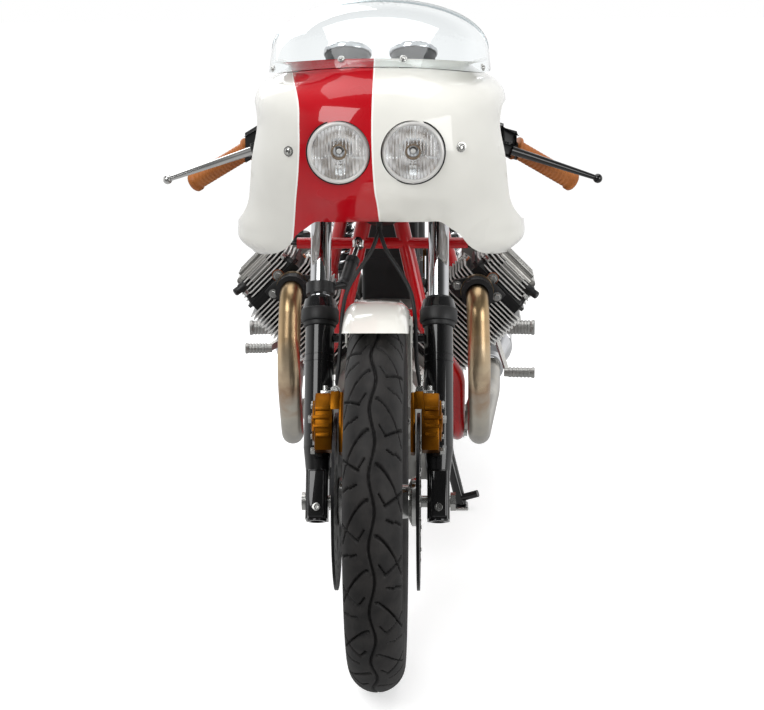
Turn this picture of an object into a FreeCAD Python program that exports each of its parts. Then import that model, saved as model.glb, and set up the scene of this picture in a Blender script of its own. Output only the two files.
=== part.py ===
import FreeCAD, Part
import math
import os

os.makedirs("parts", exist_ok=True)
V = FreeCAD.Vector

# Half-faired cafe racer with a transverse V-twin, standing upright on its centre stand.
# Millimetres, +Z up, front towards -Y, +X is the rider's left, origin on the ground
# midway between the foremost and rearmost points of the tyres.

# Stance and steering
TYRE_TO_COVER = 78.5     # front tyre to the engine's front cover
TYRE_TO_PIVOT = 107.5    # rear tyre to the swingarm's pivot
STAND_LIFT = 20.0        # rear tyre over the ground on the stand
RAKE = 27.5              # degrees of the steering axis from the vertical
YOKE_OFFSET = 60.0       # fork legs ahead of the steering axis
FORK_SPACING = 205.0

# Fits and gaps
RUNNING = 0.05           # radial clearance of pins, tubes and axles
SEAT = 0.3               # gap where curved pieces rest on each other
CLEAR = 5.0              # gap between pieces that move past each other

# Wheels: outer radius, width, half width between the rim's flanges
FRONT_TYRE_R, FRONT_TYRE_W, FRONT_RIM_HALF = 319.0, 95.0, 23.5
REAR_TYRE_R, REAR_TYRE_W, REAR_RIM_HALF = 333.0, 130.0, 30.5
BEAD_R = 228.6           # bead seat of an 18 inch rim
FLANGE_H = 14.0
RIM_WALL = 3.5
TREAD_T = 10.0
SIDEWALL_T = 7.0
SPOKES = 36
SPOKE_R = 2.0
AXLE_R = 10.0
AXLE_BORE_R = 6.0
DISC_R = 150.0
DISC_T = 5.0
DISC_X = 69.0
CARRIER_HOLES, CARRIER_HOLE_R, CARRIER_RING_R = 6, 15.0, 72.0
REAR_DISC_R = 121.0

# Fork, measured along the legs from the front axle
MUDGUARD_GAP = 21.0      # tyre to the mudguard's crown
MUDGUARD_AHEAD = 20.0    # degrees from the crown to the front edge
MUDGUARD_SPAN = 96.0
MUDGUARD_CUT = 14.0      # degrees by which the front edge's cut falls towards the axle
MUDGUARD_T = 2.5
MUDGUARD_HALF = 55.0
BOSS_BELOW_CROWN = 34.0  # mudguard boss under the tyre's crown
LEG_BELOW_CROWN = 7.0
YOKE_ABOVE_CROWN = 196.0
YOKE_SPREAD = 210.0      # from the lower yoke to the upper one
FORK_TUBE_R = 18.0
FORK_LEG_R = 25.0
FORK_FOOT_R = 17.0
FORK_FOOT = 33.0         # leg below the axle
AXLE_LUG = 19.0          # half width of the square lug round the axle
BOOT_R = 32.0
BOOT_H = 40.0
HOSE_R = 3.5
CALIPER_LUGS = (80.0, 160.0)
TUBE_BOTTOM = 150.0
LOWER_YOKE_T = 35.0
UPPER_YOKE_T = 22.0
YOKE_CLAMP_R = 29.0
STEM_R = 15.0
STEM_BORE_R = 9.0
HEADSTOCK_R = 29.0

# Handlebars and dials
BAR_R = 11.0
GRIP_R = 16.5
DIAL_X = 58.0

# Engine
CRANK_Z = 375.0
CASE_FRONT = -290.0
COVER_DEPTH = 57.0
CASE_REAR = -10.0
SUMP_Z = 215.0
BARREL_FOOT = 110.0      # distances along the cylinder's axis from the crank
HEAD_FOOT = 215.0
HEAD_TOP = 300.0
COVER_TOP = 356.0
FIN_PITCH = 7.5
FIN_T = 2.4
FIN_HALF = 72.0
HEAD_FIN_HALF = 76.0
FIN_CORNER = 16.0
COVER_FLANGE = 7.0       # thickness of the rocker cover's flange
COVER_FOOT_HALF = (60.0, 54.0)
COVER_TOP_HALF = (50.0, 42.0)
STUD_R = 9.0
BARREL_R = 56.0
CYLINDER_Y = {"left": -215.0, "right": -185.0}
PORT_ALONG, PORT_ACROSS = 274.0, -28.0    # both ports, from the crank and across the head
PORT_R = 27.0
HEADER_R = 21.0
MUFFLER_R = 45.0

# Frame
RAIL_R = 14.0
SPINE_R = 22.0
LOWER_RAIL_X = 138.0
LOWER_RAIL_Z = 290.0
PLATE_X = 127.0
PLATE_T = 8.0
PIVOT_Y, PIVOT_Z = 290.0, 370.0
PIVOT_R = 12.0
STAND_Y, STAND_Z = 215.0, 262.0
STAND_PIN_R = 8.0
SEAT_RAIL_X = 88.0
TAIL_ABOVE_TYRE = 79.0   # flat underside of the tail over the rear tyre
SEAT_BELOW_TAIL = 21.0   # flat underside of the seat under the tail's
TAIL_TUBE_Y, TAIL_TUBE_R = 640.0, 9.0
SHOCK_X = 122.0
SHOCK_PIN_R = 7.0
COILS, COIL_R, COIL_WIRE_R = 9, 24.5, 5.0

# Battery box: foot, middle, half width and height
BATTERY_Z = 467.2
BATTERY_Y = 164.0
BATTERY_HALF = 58.0
BATTERY_H = 206.0

# Footrests and their controls, on the left side
FOOTREST_Y, FOOTREST_Z = 232.0, 395.0
FOOTREST_INNER, FOOTREST_OUTER = 214.0, 305.0
FOOTREST_R = 14.0
TOE_R = 9.0
GEAR_HUB_Y, GEAR_HUB_Z = 205.0, 412.0
GEAR_TOE_Y, GEAR_TOE_Z = 92.0, 330.0
BRAKE_HUB_Y, BRAKE_HUB_Z = 238.0, 380.0
BRAKE_TOE_Y, BRAKE_TOE_Z = 92.0, 382.0

# Bodywork
REAR_GUARD_GAP = 22.0    # rear tyre to the mudguard's crown
REAR_GUARD_HALF = 74.0
REAR_GUARD_T = 2.5
REAR_GUARD_AHEAD = 38.0  # degrees from the crown to the front edge
REAR_GUARD_SPAN = 100.0
FAIRING_T = 3.0
ROUNDNESS = 0.82         # power of the fairing's and the screen's plan, 1 for an ellipse
ACROSS = 16              # points across the fairing and the screen, less one
LAMP_X, LAMP_R = 61.0, 51.5
STAY_X = 131.0
STAY_BEAM, STAY_NOSE = -256.0, -326.1    # ahead of the steering axis at the upper yoke

SIDES = {"left": 1, "right": -1}

# Derived places
FRONT_Y = CASE_FRONT - COVER_DEPTH - TYRE_TO_COVER - FRONT_TYRE_R
REAR_Y = PIVOT_Y + TYRE_TO_PIVOT + REAR_TYRE_R
REAR_Z = REAR_TYRE_R + STAND_LIFT
FRONT_AXLE = V(0, FRONT_Y, FRONT_TYRE_R)
REAR_AXLE = V(0, REAR_Y, REAR_Z)
FORK_X = FORK_SPACING / 2
MUDGUARD_R = FRONT_TYRE_R + MUDGUARD_GAP
BOSS = FRONT_TYRE_R - BOSS_BELOW_CROWN
LEG_TOP = FRONT_TYRE_R - LEG_BELOW_CROWN
LOWER_YOKE = FRONT_TYRE_R + YOKE_ABOVE_CROWN
UPPER_YOKE = LOWER_YOKE + YOKE_SPREAD
TAIL_PAN_Z = REAR_Z + REAR_TYRE_R + TAIL_ABOVE_TYRE
SEAT_PAN_Z = TAIL_PAN_Z - SEAT_BELOW_TAIL
SHOCK_TOP = (REAR_Y - 145.5, SEAT_PAN_Z - 29)
SHOCK_FOOT = (REAR_Y - 108.5, REAR_Z + 55)
SIN_RAKE, COS_RAKE = math.sin(math.radians(RAKE)), math.cos(math.radians(RAKE))
UP_FORK = V(0, SIN_RAKE, COS_RAKE)
AHEAD = V(0, -COS_RAKE, SIN_RAKE)


def on_fork(along, side=0.0, ahead=0.0):
    """Point by its distance up the fork from the axle, to the side and ahead."""
    return FRONT_AXLE + UP_FORK * along + V(side, 0, 0) + AHEAD * ahead


def on_axis(along):
    """Point on the steering axis."""
    return on_fork(along, 0, -YOKE_OFFSET)


def at_head(x, y, z):
    """Point by its offset from the steering axis at the upper yoke."""
    return on_axis(UPPER_YOKE) + V(x, y, z)


# Centre lines of the left bar and its lever, and the lamp's middle
BAR_ROOT = at_head(118, -81, 11)
BAR_END = at_head(345, 16, -133)
LEVER_ROOT = at_head(222, -78, -60)
LEVER_TIP = at_head(392, -32, -122)
LAMP = at_head(LAMP_X, -344, -27)


# Building blocks
def rod(start, end, radius):
    return Part.makeCylinder(radius, (end - start).Length, start, end - start)


def cross_rod(half, y, z, radius):
    return rod(V(-half, y, z), V(half, y, z), radius)


def box(x0, x1, y0, y1, z0, z1):
    return Part.makeBox(x1 - x0, y1 - y0, z1 - z0, V(x0, y0, z0))


def bent_path(points, bends):
    """Straight runs joined by tangent arcs of the given radii."""
    edges = []
    here = points[0]
    for i, bend in enumerate(bends, 1):
        back = (points[i - 1] - points[i]).normalize()
        on = (points[i + 1] - points[i]).normalize()
        half = back.getAngle(on) / 2
        first = points[i] + back * (bend / math.tan(half))
        last = points[i] + on * (bend / math.tan(half))
        middle = points[i] + (back + on).normalize() * (bend / math.sin(half) - bend)
        edges.append(Part.LineSegment(here, first).toShape())
        edges.append(Part.Arc(first, middle, last).toShape())
        here = last
    edges.append(Part.LineSegment(here, points[-1]).toShape())
    return Part.Wire(edges)


def bent_rod(points, bends, radius):
    ring = Part.Wire(Part.makeCircle(radius, points[0], points[1] - points[0]))
    return bent_path(points, bends).makePipeShell([ring], True, False)


def outline(place, start, *steps):
    """Face inside straight steps (u, v) and arcs (through u, v, to u, v)."""
    edges = []
    here = start
    for step in steps:
        end = step[-2:]
        if len(step) == 4:
            edges.append(Part.Arc(place(*here), place(*step[:2]), place(*end)).toShape())
        else:
            edges.append(Part.LineSegment(place(*here), place(*end)).toShape())
        here = end
    if here != start:
        edges.append(Part.LineSegment(place(*here), place(*start)).toShape())
    return Part.Face(Part.Wire(edges))


def in_xz(u, v):
    return V(u, 0, v)


def in_xy(u, v):
    return V(u, v, 0)


def in_yz(u, v):
    return V(0, u, v)


def turned(start, *steps):
    """Solid turned about X from a profile of (x, radius)."""
    return outline(in_xz, start, *steps).revolve(V(0, 0, 0), V(1, 0, 0), 360)


def spun(start, *steps):
    """Solid turned about Z from a profile of (radius, z)."""
    return outline(in_xz, start, *steps).revolve(V(0, 0, 0), V(0, 0, 1), 360)


def moved(shape, offset):
    shape.translate(offset)
    return shape


def mirrored(shape, side):
    return shape if side == "left" else shape.mirror(V(0, 0, 0), V(1, 0, 0))


def raked(shape, side=0.0):
    """From the fork's own frame, Z up the leg and Y behind it, to its place."""
    shape.rotate(V(0, 0, 0), V(1, 0, 0), -RAKE)
    return moved(shape, FRONT_AXLE + V(side, 0, 0))


def fused(first, *rest):
    return first.multiFuse(list(rest))


def ring_wire(y, half, low, high, square):
    """Closed smooth section across the bike, from round to square."""
    middle, rise = (low + high) / 2, (high - low) / 2
    points = []
    for i in range(20):
        angle = math.tau * (i + 0.5) / 20
        c, s = math.cos(angle), math.sin(angle)
        x = half * math.copysign(abs(c) ** (1 / square), c)
        z = middle + rise * math.copysign(abs(s) ** (1 / square), s)
        points.append(V(x, y, z))
    curve = Part.BSplineCurve()
    curve.interpolate(Points=points, PeriodicFlag=True)
    return Part.Wire(curve.toShape())


def body_of(sections):
    """Smooth body through sections of (place along the bike, half width, low, high, squareness)."""
    return Part.makeLoft([ring_wire(*section) for section in sections], True, False)


def skin(grid, wall):
    """Shell of a smooth surface through a grid of points, thickened inwards."""
    rows, columns = len(grid), len(grid[0])
    inner = []
    for i in range(rows):
        line = []
        for j in range(columns):
            up = grid[min(i + 1, rows - 1)][j] - grid[max(i - 1, 0)][j]
            along = grid[i][min(j + 1, columns - 1)] - grid[i][max(j - 1, 0)]
            line.append(grid[i][j] + up.cross(along).normalize() * wall)
        inner.append(line)
    faces, borders = [], []
    for points in (grid, inner):
        surface = Part.BSplineSurface()
        surface.interpolate(points)
        faces.append(surface.toShape())
        u0, u1, v0, v1 = surface.bounds()
        borders.append([surface.uIso(u0), surface.vIso(v1), surface.uIso(u1), surface.vIso(v0)])
    for outside, inside in zip(*borders):
        faces.append(Part.makeRuledSurface(outside.toShape(), inside.toShape()))
    shell = Part.makeShell(faces)
    shell.sewShape()
    solid = Part.makeSolid(shell)
    if solid.Volume < 0:
        solid.reverse()
    return solid


# Wheels
def tyre(radius, width, rim_half, axle):
    half = width / 2
    belly = BEAD_R + 0.48 * (radius - BEAD_R)
    bead = rim_half - SEAT
    foot = BEAD_R + SEAT
    lip = BEAD_R + FLANGE_H + 2
    inside = bead - 9
    shape = turned((bead, foot), (bead, lip), (half - 4, (lip + belly) / 2 - 3, half, belly),
                   (0, radius, -half, belly), (4 - half, (lip + belly) / 2 - 3, -bead, lip),
                   (-bead, foot), (-inside, foot), (-inside, lip + 4), (SIDEWALL_T - half, belly),
                   (0, radius - TREAD_T, half - SIDEWALL_T, belly), (inside, lip + 4), (inside, foot))
    return moved(shape, axle)


def rim(rim_half):
    edge = rim_half + RIM_WALL
    well = BEAD_R - 16
    return turned((edge, BEAD_R + FLANGE_H), (rim_half, BEAD_R + FLANGE_H), (rim_half, BEAD_R),
                  (rim_half - 12, BEAD_R), (8, well), (-8, well), (12 - rim_half, BEAD_R),
                  (-rim_half, BEAD_R), (-rim_half, BEAD_R + FLANGE_H), (-edge, BEAD_R + FLANGE_H),
                  (-edge, BEAD_R - RIM_WALL), (-9, well - RIM_WALL), (9, well - RIM_WALL),
                  (edge, BEAD_R - RIM_WALL))


def spokes(flange_x, flange_r, nipple_x):
    """Crossed wire spokes, four to a group, from the hub's flanges to the rim."""
    wires = []
    for i in range(SPOKES):
        side = 1 if i % 2 else -1
        lean = 1 if i % 4 < 2 else -1
        at_rim = math.tau * i / SPOKES
        at_hub = at_rim + lean * math.radians(62)
        start = V(side * flange_x, flange_r * math.cos(at_hub), flange_r * math.sin(at_hub))
        reach = BEAD_R - 17
        end = V(side * nipple_x, reach * math.cos(at_rim), reach * math.sin(at_rim))
        wires.append(rod(start, end, SPOKE_R))
    return wires


def front_wheel():
    shoulder = DISC_X - DISC_T / 2
    bore = AXLE_R + RUNNING
    hub = turned((shoulder, bore), (shoulder, 42), (58, 42), (54, 28), (37, 30), (36, 58), (30, 58),
                 (29, 32), (-29, 32), (-30, 58), (-36, 58), (-37, 30), (-54, 28), (-58, 42),
                 (-shoulder, 42), (-shoulder, bore))
    discs = [mirrored(front_disc(), side) for side in SIDES]
    return moved(fused(hub, rim(FRONT_RIM_HALF), *spokes(33, 53, 5), *discs), FRONT_AXLE)


def front_disc():
    """Brake disc with its drilled carrier on the left end of the hub."""
    x0 = DISC_X - DISC_T / 2
    shape = turned((x0, 24), (x0, DISC_R), (x0 + DISC_T, DISC_R), (x0 + DISC_T, 100),
                   (x0 + 4, 98), (x0 + 4, 24))
    holes = []
    for i in range(CARRIER_HOLES):
        angle = math.tau * i / CARRIER_HOLES
        y, z = CARRIER_RING_R * math.cos(angle), CARRIER_RING_R * math.sin(angle)
        holes.append(rod(V(x0 - 1, y, z), V(x0 + 9, y, z), CARRIER_HOLE_R))
    return shape.cut(Part.makeCompound(holes))


def rear_wheel():
    bore = AXLE_R + RUNNING
    hub = turned((70, bore), (70, 30), (70, REAR_DISC_R), (75, REAR_DISC_R), (75, 78), (75, 30),
                 (77, 30), (77, bore))
    core = turned((70, bore), (70, 42), (62, 48), (44, 50), (42, 70), (35, 70), (34, 46),
                  (-40, 46), (-42, 70), (-50, 70), (-52, 60), (-78, 60), (-78, bore))
    disc_bore = turned((68, 48), (68, 72), (80, 72), (80, 48))
    hub = hub.cut(disc_bore)
    arms = []
    for i in range(5):
        arm = box(70, 75, -12, 12, 28, 80)
        arm.rotate(V(0, 0, 0), V(1, 0, 0), 72 * i)
        arms.append(arm)
    return moved(fused(hub, core, *arms, rim(REAR_RIM_HALF), *spokes(38, 64, 8)), REAR_AXLE)


def axle(centre, half, bore):
    shape = rod(V(-half, 0, 0), V(half, 0, 0), AXLE_R)
    head = Part.makePolygon([V(half, 16 * math.cos(a * math.pi / 3), 16 * math.sin(a * math.pi / 3))
                             for a in range(7)])
    nut = Part.Face(head).extrude(V(9, 0, 0))
    flange = rod(V(-half - 6, 0, 0), V(-half, 0, 0), 15)
    shape = fused(shape, nut, flange)
    if bore:
        shape = shape.cut(rod(V(-half - 7, 0, 0), V(half + 10, 0, 0), bore))
    return moved(shape, centre)


# Fork
def fork_leg(side):
    """Lower leg with its rubber boot, axle lug, caliper lugs and mudguard boss."""
    bore = FORK_TUBE_R + RUNNING
    shape = spun((0, -FORK_FOOT), (FORK_FOOT_R, -FORK_FOOT), (19, -24), (19, 38), (22, 66),
                 (FORK_LEG_R, 92), (FORK_LEG_R, LEG_TOP), (BOOT_R, LEG_TOP + 2),
                 (BOOT_R, LEG_TOP + 20), (BOOT_R - 5, LEG_TOP + BOOT_H), (bore, LEG_TOP + BOOT_H),
                 (bore, TUBE_BOTTOM - 1), (0, TUBE_BOTTOM - 1))
    lugs = [box(-9, 3, -46, 0, z - 11, z + 11) for z in CALIPER_LUGS]
    foot = box(-AXLE_LUG, AXLE_LUG, -AXLE_LUG - 5, AXLE_LUG, -FORK_FOOT, 50)
    foot = foot.makeFillet(6, [e for e in foot.Edges if abs(e.tangentAt(e.FirstParameter).z) > 0.9])
    boss = rod(V(0, 0, BOSS), V(MUDGUARD_HALF + 3 + SEAT - FORK_X, 0, BOSS), 8)
    shape = fused(shape, foot, boss, *lugs)
    shape = shape.cut(rod(V(0, 0, -FORK_FOOT - 1), V(0, 0, -AXLE_R - CLEAR), 11))
    shape = shape.cut(rod(V(0, 0, TUBE_BOTTOM - 1), V(0, 0, LEG_TOP + BOOT_H), bore))
    shape = shape.cut(rod(V(-40, 0, 0), V(40, 0, 0), AXLE_R + RUNNING))
    return raked(mirrored(shape, side), SIDES[side] * FORK_X)


def fork_tube(side):
    """Plated tube with its cap over the upper yoke."""
    tube = rod(V(0, 0, TUBE_BOTTOM), V(0, 0, UPPER_YOKE + UPPER_YOKE_T + 5), FORK_TUBE_R)
    cap = rod(V(0, 0, UPPER_YOKE + UPPER_YOKE_T + 5), V(0, 0, UPPER_YOKE + UPPER_YOKE_T + 12), 13)
    return raked(fused(tube, cap), SIDES[side] * FORK_X)


def yoke_plate(low, thick):
    """Plate of one yoke with its clamps round both tubes."""
    plate = outline(in_xy, (-95, -20), (95, -20), (FORK_X + 15, 24), (26, YOKE_OFFSET + 8),
                    (0, YOKE_OFFSET + 29, -26, YOKE_OFFSET + 8), (-FORK_X - 15, 24))
    plate = moved(plate, V(0, 0, low)).extrude(V(0, 0, thick))
    clamps = [rod(V(s * FORK_X, 0, low), V(s * FORK_X, 0, low + thick), YOKE_CLAMP_R)
              for s in (1, -1)]
    return [plate] + clamps


def fork_yokes():
    """Both yokes on the hollow steering stem."""
    top = UPPER_YOKE + UPPER_YOKE_T
    stem = rod(V(0, YOKE_OFFSET, LOWER_YOKE), V(0, YOKE_OFFSET, top + 10), STEM_R)
    shape = fused(stem, *yoke_plate(LOWER_YOKE, LOWER_YOKE_T), *yoke_plate(UPPER_YOKE, UPPER_YOKE_T))
    holes = [rod(V(s * FORK_X, 0, LOWER_YOKE - 1), V(s * FORK_X, 0, top + 1), FORK_TUBE_R + RUNNING)
             for s in (1, -1)]
    bore = rod(V(0, YOKE_OFFSET, LOWER_YOKE - 1), V(0, YOKE_OFFSET, top + 11), STEM_BORE_R)
    return raked(shape.cut(Part.makeCompound(holes + [bore])))


def caliper(side):
    """Two-piece caliper bridging the disc ahead of the leg."""
    body = box(54, 106, -90, -46.3, 66, 174)
    body = body.makeFillet(10, [e for e in body.Edges if abs(e.tangentAt(e.FirstParameter).x) > 0.9])
    slot = rod(V(DISC_X - DISC_T / 2 - CLEAR, 0, 0), V(DISC_X + DISC_T / 2 + CLEAR, 0, 0),
               DISC_R + CLEAR + 1)
    ribs = [box(80, 110, -94, -88, z - 3, z + 3) for z in (88, 104, 120, 136, 152)]
    shape = fused(body, *ribs).cut(slot)
    return moved(mirrored(raked_local(shape), side), FRONT_AXLE)


def raked_local(shape):
    shape.rotate(V(0, 0, 0), V(1, 0, 0), -RAKE)
    return shape


def front_mudguard():
    """Narrow crowned guard on straps that meet the legs' bosses."""
    edge = MUDGUARD_R - 25
    half, t = MUDGUARD_HALF, MUDGUARD_T
    band = outline(in_xz, (half, edge), (half - 10, MUDGUARD_R - 7, half - 22, MUDGUARD_R - 2),
                   (0, MUDGUARD_R, 22 - half, MUDGUARD_R - 2),
                   (10 - half, MUDGUARD_R - 7, -half, edge), (t - half, edge),
                   (10 + t - half, MUDGUARD_R - 7 - t, 22 - half, MUDGUARD_R - 2 - t),
                   (0, MUDGUARD_R - t, half - 22, MUDGUARD_R - 2 - t),
                   (half - 10 - t, MUDGUARD_R - 7 - t, half - t, edge))
    band.rotate(V(0, 0, 0), V(1, 0, 0), MUDGUARD_AHEAD)
    guard = band.revolve(V(0, 0, 0), V(1, 0, 0), -MUDGUARD_SPAN)
    ahead = math.radians(MUDGUARD_AHEAD)
    y, z = -MUDGUARD_R * math.sin(ahead), MUDGUARD_R * math.cos(ahead)
    fall = y * math.tan(math.radians(MUDGUARD_CUT))
    below = outline(in_yz, (2 * y, z - fall), (0, z + fall), (0, 0), (2 * y, 0))
    guard = guard.cut(moved(below, V(-2 * half, 0, 0)).extrude(V(4 * half, 0, 0)))
    straps = []
    for s in (1, -1):
        strap = box(0, 3, -16, 16, BOSS - 13, edge + 4)
        strap.translate(V(half if s > 0 else -half - 3, 0, 0))
        straps.append(raked_local(strap))
        tab = box(half - 4, half + 1, -16, 16, edge - 12, edge + 3)
        if s < 0:
            tab = tab.mirror(V(0, 0, 0), V(1, 0, 0))
        straps.append(raked_local(tab))
    return moved(fused(guard, *straps), FRONT_AXLE)


def clip_on(side):
    """Clamp, bar, grip, switch housing and lever of one handlebar."""
    way = (BAR_END - BAR_ROOT).normalize()
    along = [BAR_ROOT + (BAR_END - BAR_ROOT) * share for share in (0.33, 0.38, 0.40, 0.50, 0.52)]
    clamp = raked(rod(V(0, 0, UPPER_YOKE - 39), V(0, 0, UPPER_YOKE - 9), 27), FORK_X)
    bar = rod(BAR_ROOT, BAR_END, BAR_R)
    grip = rod(along[4], BAR_END + way * 4, GRIP_R)
    collar = rod(along[4], along[4] + way * 6, GRIP_R + 5)
    switch = rod(along[2], along[3], 22)
    perch = rod(along[1] + way * 2, LEVER_ROOT, 10)
    barrel = rod(LEVER_ROOT + V(-38, -14, 14), LEVER_ROOT + V(10, 2, -4), 11)
    lever = rod(LEVER_ROOT, LEVER_TIP, 6)
    ball = Part.makeSphere(9, LEVER_TIP - V(6, 0, 0))
    hole = raked(rod(V(0, 0, UPPER_YOKE - 45), V(0, 0, UPPER_YOKE - 5), FORK_TUBE_R + RUNNING), FORK_X)
    shape = fused(clamp, bar, grip, collar, switch, perch, barrel, lever, ball).cut(hole)
    return mirrored(shape, side)


def instruments():
    """Two round dials in cups on a bracket over the upper yoke."""
    low = UPPER_YOKE + UPPER_YOKE_T
    plate = box(-92, 92, -72, 4, low, low + 3)
    cups = []
    for s in (1, -1):
        cup = spun((0, 0), (30, 0), (39, 12), (39, 36), (42, 38), (42, 44), (38, 46), (0, 44))
        cups.append(moved(cup, V(s * DIAL_X, -46, low + 3)))
    holes = [rod(V(s * FORK_X, 0, low - 1), V(s * FORK_X, 0, low + 60), FORK_TUBE_R + 3)
             for s in (1, -1)]
    return raked(fused(plate, *cups).cut(Part.makeCompound(holes)))


def hose_route(s):
    """From the splitter down to the caliper: across, and from the steering axis at the upper yoke."""
    route = [(0, -210, -182), (12, -227, -216), (34, -244, -244), (56, -260, -279),
             (63, -282, -319), (64, -308, -359), (66, -334, -394), (72, -344, -429)]
    return [at_head(s * x, y, z) for x, y, z in route]


def hose(points, radius):
    """Cord of straight runs joined by arcs, each as wide as its shorter run allows."""
    bends = []
    for i in range(1, len(points) - 1):
        back, on = points[i - 1] - points[i], points[i + 1] - points[i]
        half_turn = (math.pi - back.getAngle(on)) / 2
        bends.append(0.45 * min(back.Length, on.Length) / math.tan(half_turn))
    print("hose bend radii", [round(bend, 1) for bend in bends])
    return bent_rod(points, bends, radius)


def brake_hoses():
    """Splitter block on the lower yoke's front and a hose to each caliper."""
    pieces = [hose(hose_route(s), HOSE_R) for s in (1, -1)]
    block = box(-14, 14, -42, -20 - SEAT, LOWER_YOKE + 4, LOWER_YOKE + 30)
    feed = rod(on_fork(LOWER_YOKE + 8, 0, 36), hose_route(1)[0], 5)
    return fused(raked(block), feed, *pieces)


def steering_damper():
    """Hydraulic damper from the right leg's clamp up to the open eye under the frame's lug."""
    low = LEG_TOP + BOOT_H + 10
    foot = on_fork(low + 10, -FORK_X + 38, -6)
    head = on_fork(LOWER_YOKE - 47, -40, -46)
    way = (head - foot).normalize()
    length = (head - foot).Length
    body = rod(foot + way * 12, foot + way * (length * 0.62), 11)
    piston = rod(foot + way * (length * 0.6), head, 4)
    eye = rod(head - UP_FORK * 6, head + UP_FORK * 6, 9)
    clamp = raked(rod(V(0, 0, low), V(0, 0, low + 20), FORK_TUBE_R + 7), -FORK_X)
    arm = rod(on_fork(low + 10, -FORK_X, 0), foot + way * 14, 7)
    hole = raked(rod(V(0, 0, low - 12), V(0, 0, low + 28), FORK_TUBE_R + RUNNING), -FORK_X)
    return fused(clamp, arm, body, piston, eye).cut(hole)


# Frame
def left_rails(extra=0.0):
    """Left-hand tubes of the frame, wider by a little where a casting is cut round them."""
    x = LOWER_RAIL_X
    down = bent_rod([*down_run(), V(x, CASE_FRONT - 28, 430), V(x, CASE_FRONT + 28, LOWER_RAIL_Z),
                     V(x - 3, 235, LOWER_RAIL_Z)], [90, 90, 70], RAIL_R + extra)
    level = SEAT_PAN_Z - SEAT - RAIL_R
    seat_rail = bent_rod([V(0, 60, level), V(80, 66, level), V(SEAT_RAIL_X, 300, level),
                          V(SEAT_RAIL_X, 600, level), V(60, 790, TAIL_PAN_Z - 17)],
                         [40, 300, 300], RAIL_R + extra)
    rear_down = bent_rod([V(82, 100, level), V(PLATE_X + 4, 270, 520), V(PLATE_X + 4, 285, 400)],
                         [80], RAIL_R + extra)
    return [down, seat_rail, rear_down]


def down_run():
    """Upper run of the left down tube, from behind the headstock to its knee."""
    top = on_axis(LOWER_YOKE + 95) + V(12, 26, 0)
    return top, V(77, top.y - 18, 430 + 0.27 * (top.z - 430))


def across_down(share, half, radius):
    """Cross tube of the down tubes, at a share of their upper run from the knee."""
    top, knee = down_run()
    place = knee + (top - knee) * share
    return cross_rod(half, place.y - 4, place.z, radius)


def spine_ends():
    return on_axis(LOWER_YOKE + 90), V(0, 66, SEAT_PAN_Z - SEAT - RAIL_R)


def frame():
    headstock = rod(on_axis(LOWER_YOKE + LOWER_YOKE_T + CLEAR), on_axis(UPPER_YOKE - CLEAR), HEADSTOCK_R)
    stem_hole = rod(on_axis(LOWER_YOKE), on_axis(UPPER_YOKE + 20), STEM_R + RUNNING)
    pieces = [headstock, rod(*spine_ends(), SPINE_R)] + fairing_stay()
    plate = outline(in_yz, (190, 300), (194, STAND_Z - 14), (236, STAND_Z - 14), (322, 332),
                    (326, 402), (300, 440), (262, 440), (214, 412), (214, 378), (238, 340))
    plate = moved(plate, V(PLATE_X, 0, 0)).extrude(V(PLATE_T, 0, 0))
    left = left_rails() + [plate]
    left.append(box(SEAT_RAIL_X - 6, SEAT_RAIL_X + 6, SHOCK_TOP[0] - 17, SHOCK_TOP[0] + 17,
                    SHOCK_TOP[1] - 14, SEAT_PAN_Z - 2))
    left.append(rod(V(SEAT_RAIL_X, *SHOCK_TOP), V(SHOCK_X + 14, *SHOCK_TOP), SHOCK_PIN_R))
    left.append(rod(V(PLATE_X + 2, FOOTREST_Y, FOOTREST_Z), V(170, FOOTREST_Y, FOOTREST_Z), 9))
    for piece in left:
        pieces += [piece, piece.mirror(V(0, 0, 0), V(1, 0, 0))]
    pieces.append(across_down(0.09, 68, 11))
    pieces.append(cross_rod(SEAT_RAIL_X - 2, TAIL_TUBE_Y, TAIL_PAN_Z - SEAT - TAIL_TUBE_R, TAIL_TUBE_R))
    pieces.append(cross_rod(PLATE_X + 4, PIVOT_Y, PIVOT_Z, PIVOT_R))
    pieces.append(cross_rod(PLATE_X + PLATE_T + 4, STAND_Y, STAND_Z, STAND_PIN_R))
    pieces.append(across_down(0.54, 155, 10))
    shape = fused(*pieces)
    return shape.cut(stem_hole)


def fairing_stay():
    """Twin arms ahead of the headstock with a cross tube behind the lamps."""
    arms = [rod(at_head(s * 18, -44, -62), at_head(s * 18, STAY_BEAM, -31), 8) for s in (1, -1)]
    corners = [(-STAY_X, STAY_NOSE), (-STAY_X, STAY_BEAM), (STAY_X, STAY_BEAM), (STAY_X, STAY_NOSE)]
    cross = bent_rod([at_head(x, y, -29) for x, y in corners], [25, 25], 8)
    return [cross] + arms


def shaft_line():
    """Root, flange and rear end of the arm that holds the drive shaft."""
    start, end = V(-112, PIVOT_Y + 50, PIVOT_Z - 2), V(-112, REAR_Y, REAR_Z)
    return start, start + (end - start) * 0.8, end


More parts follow.
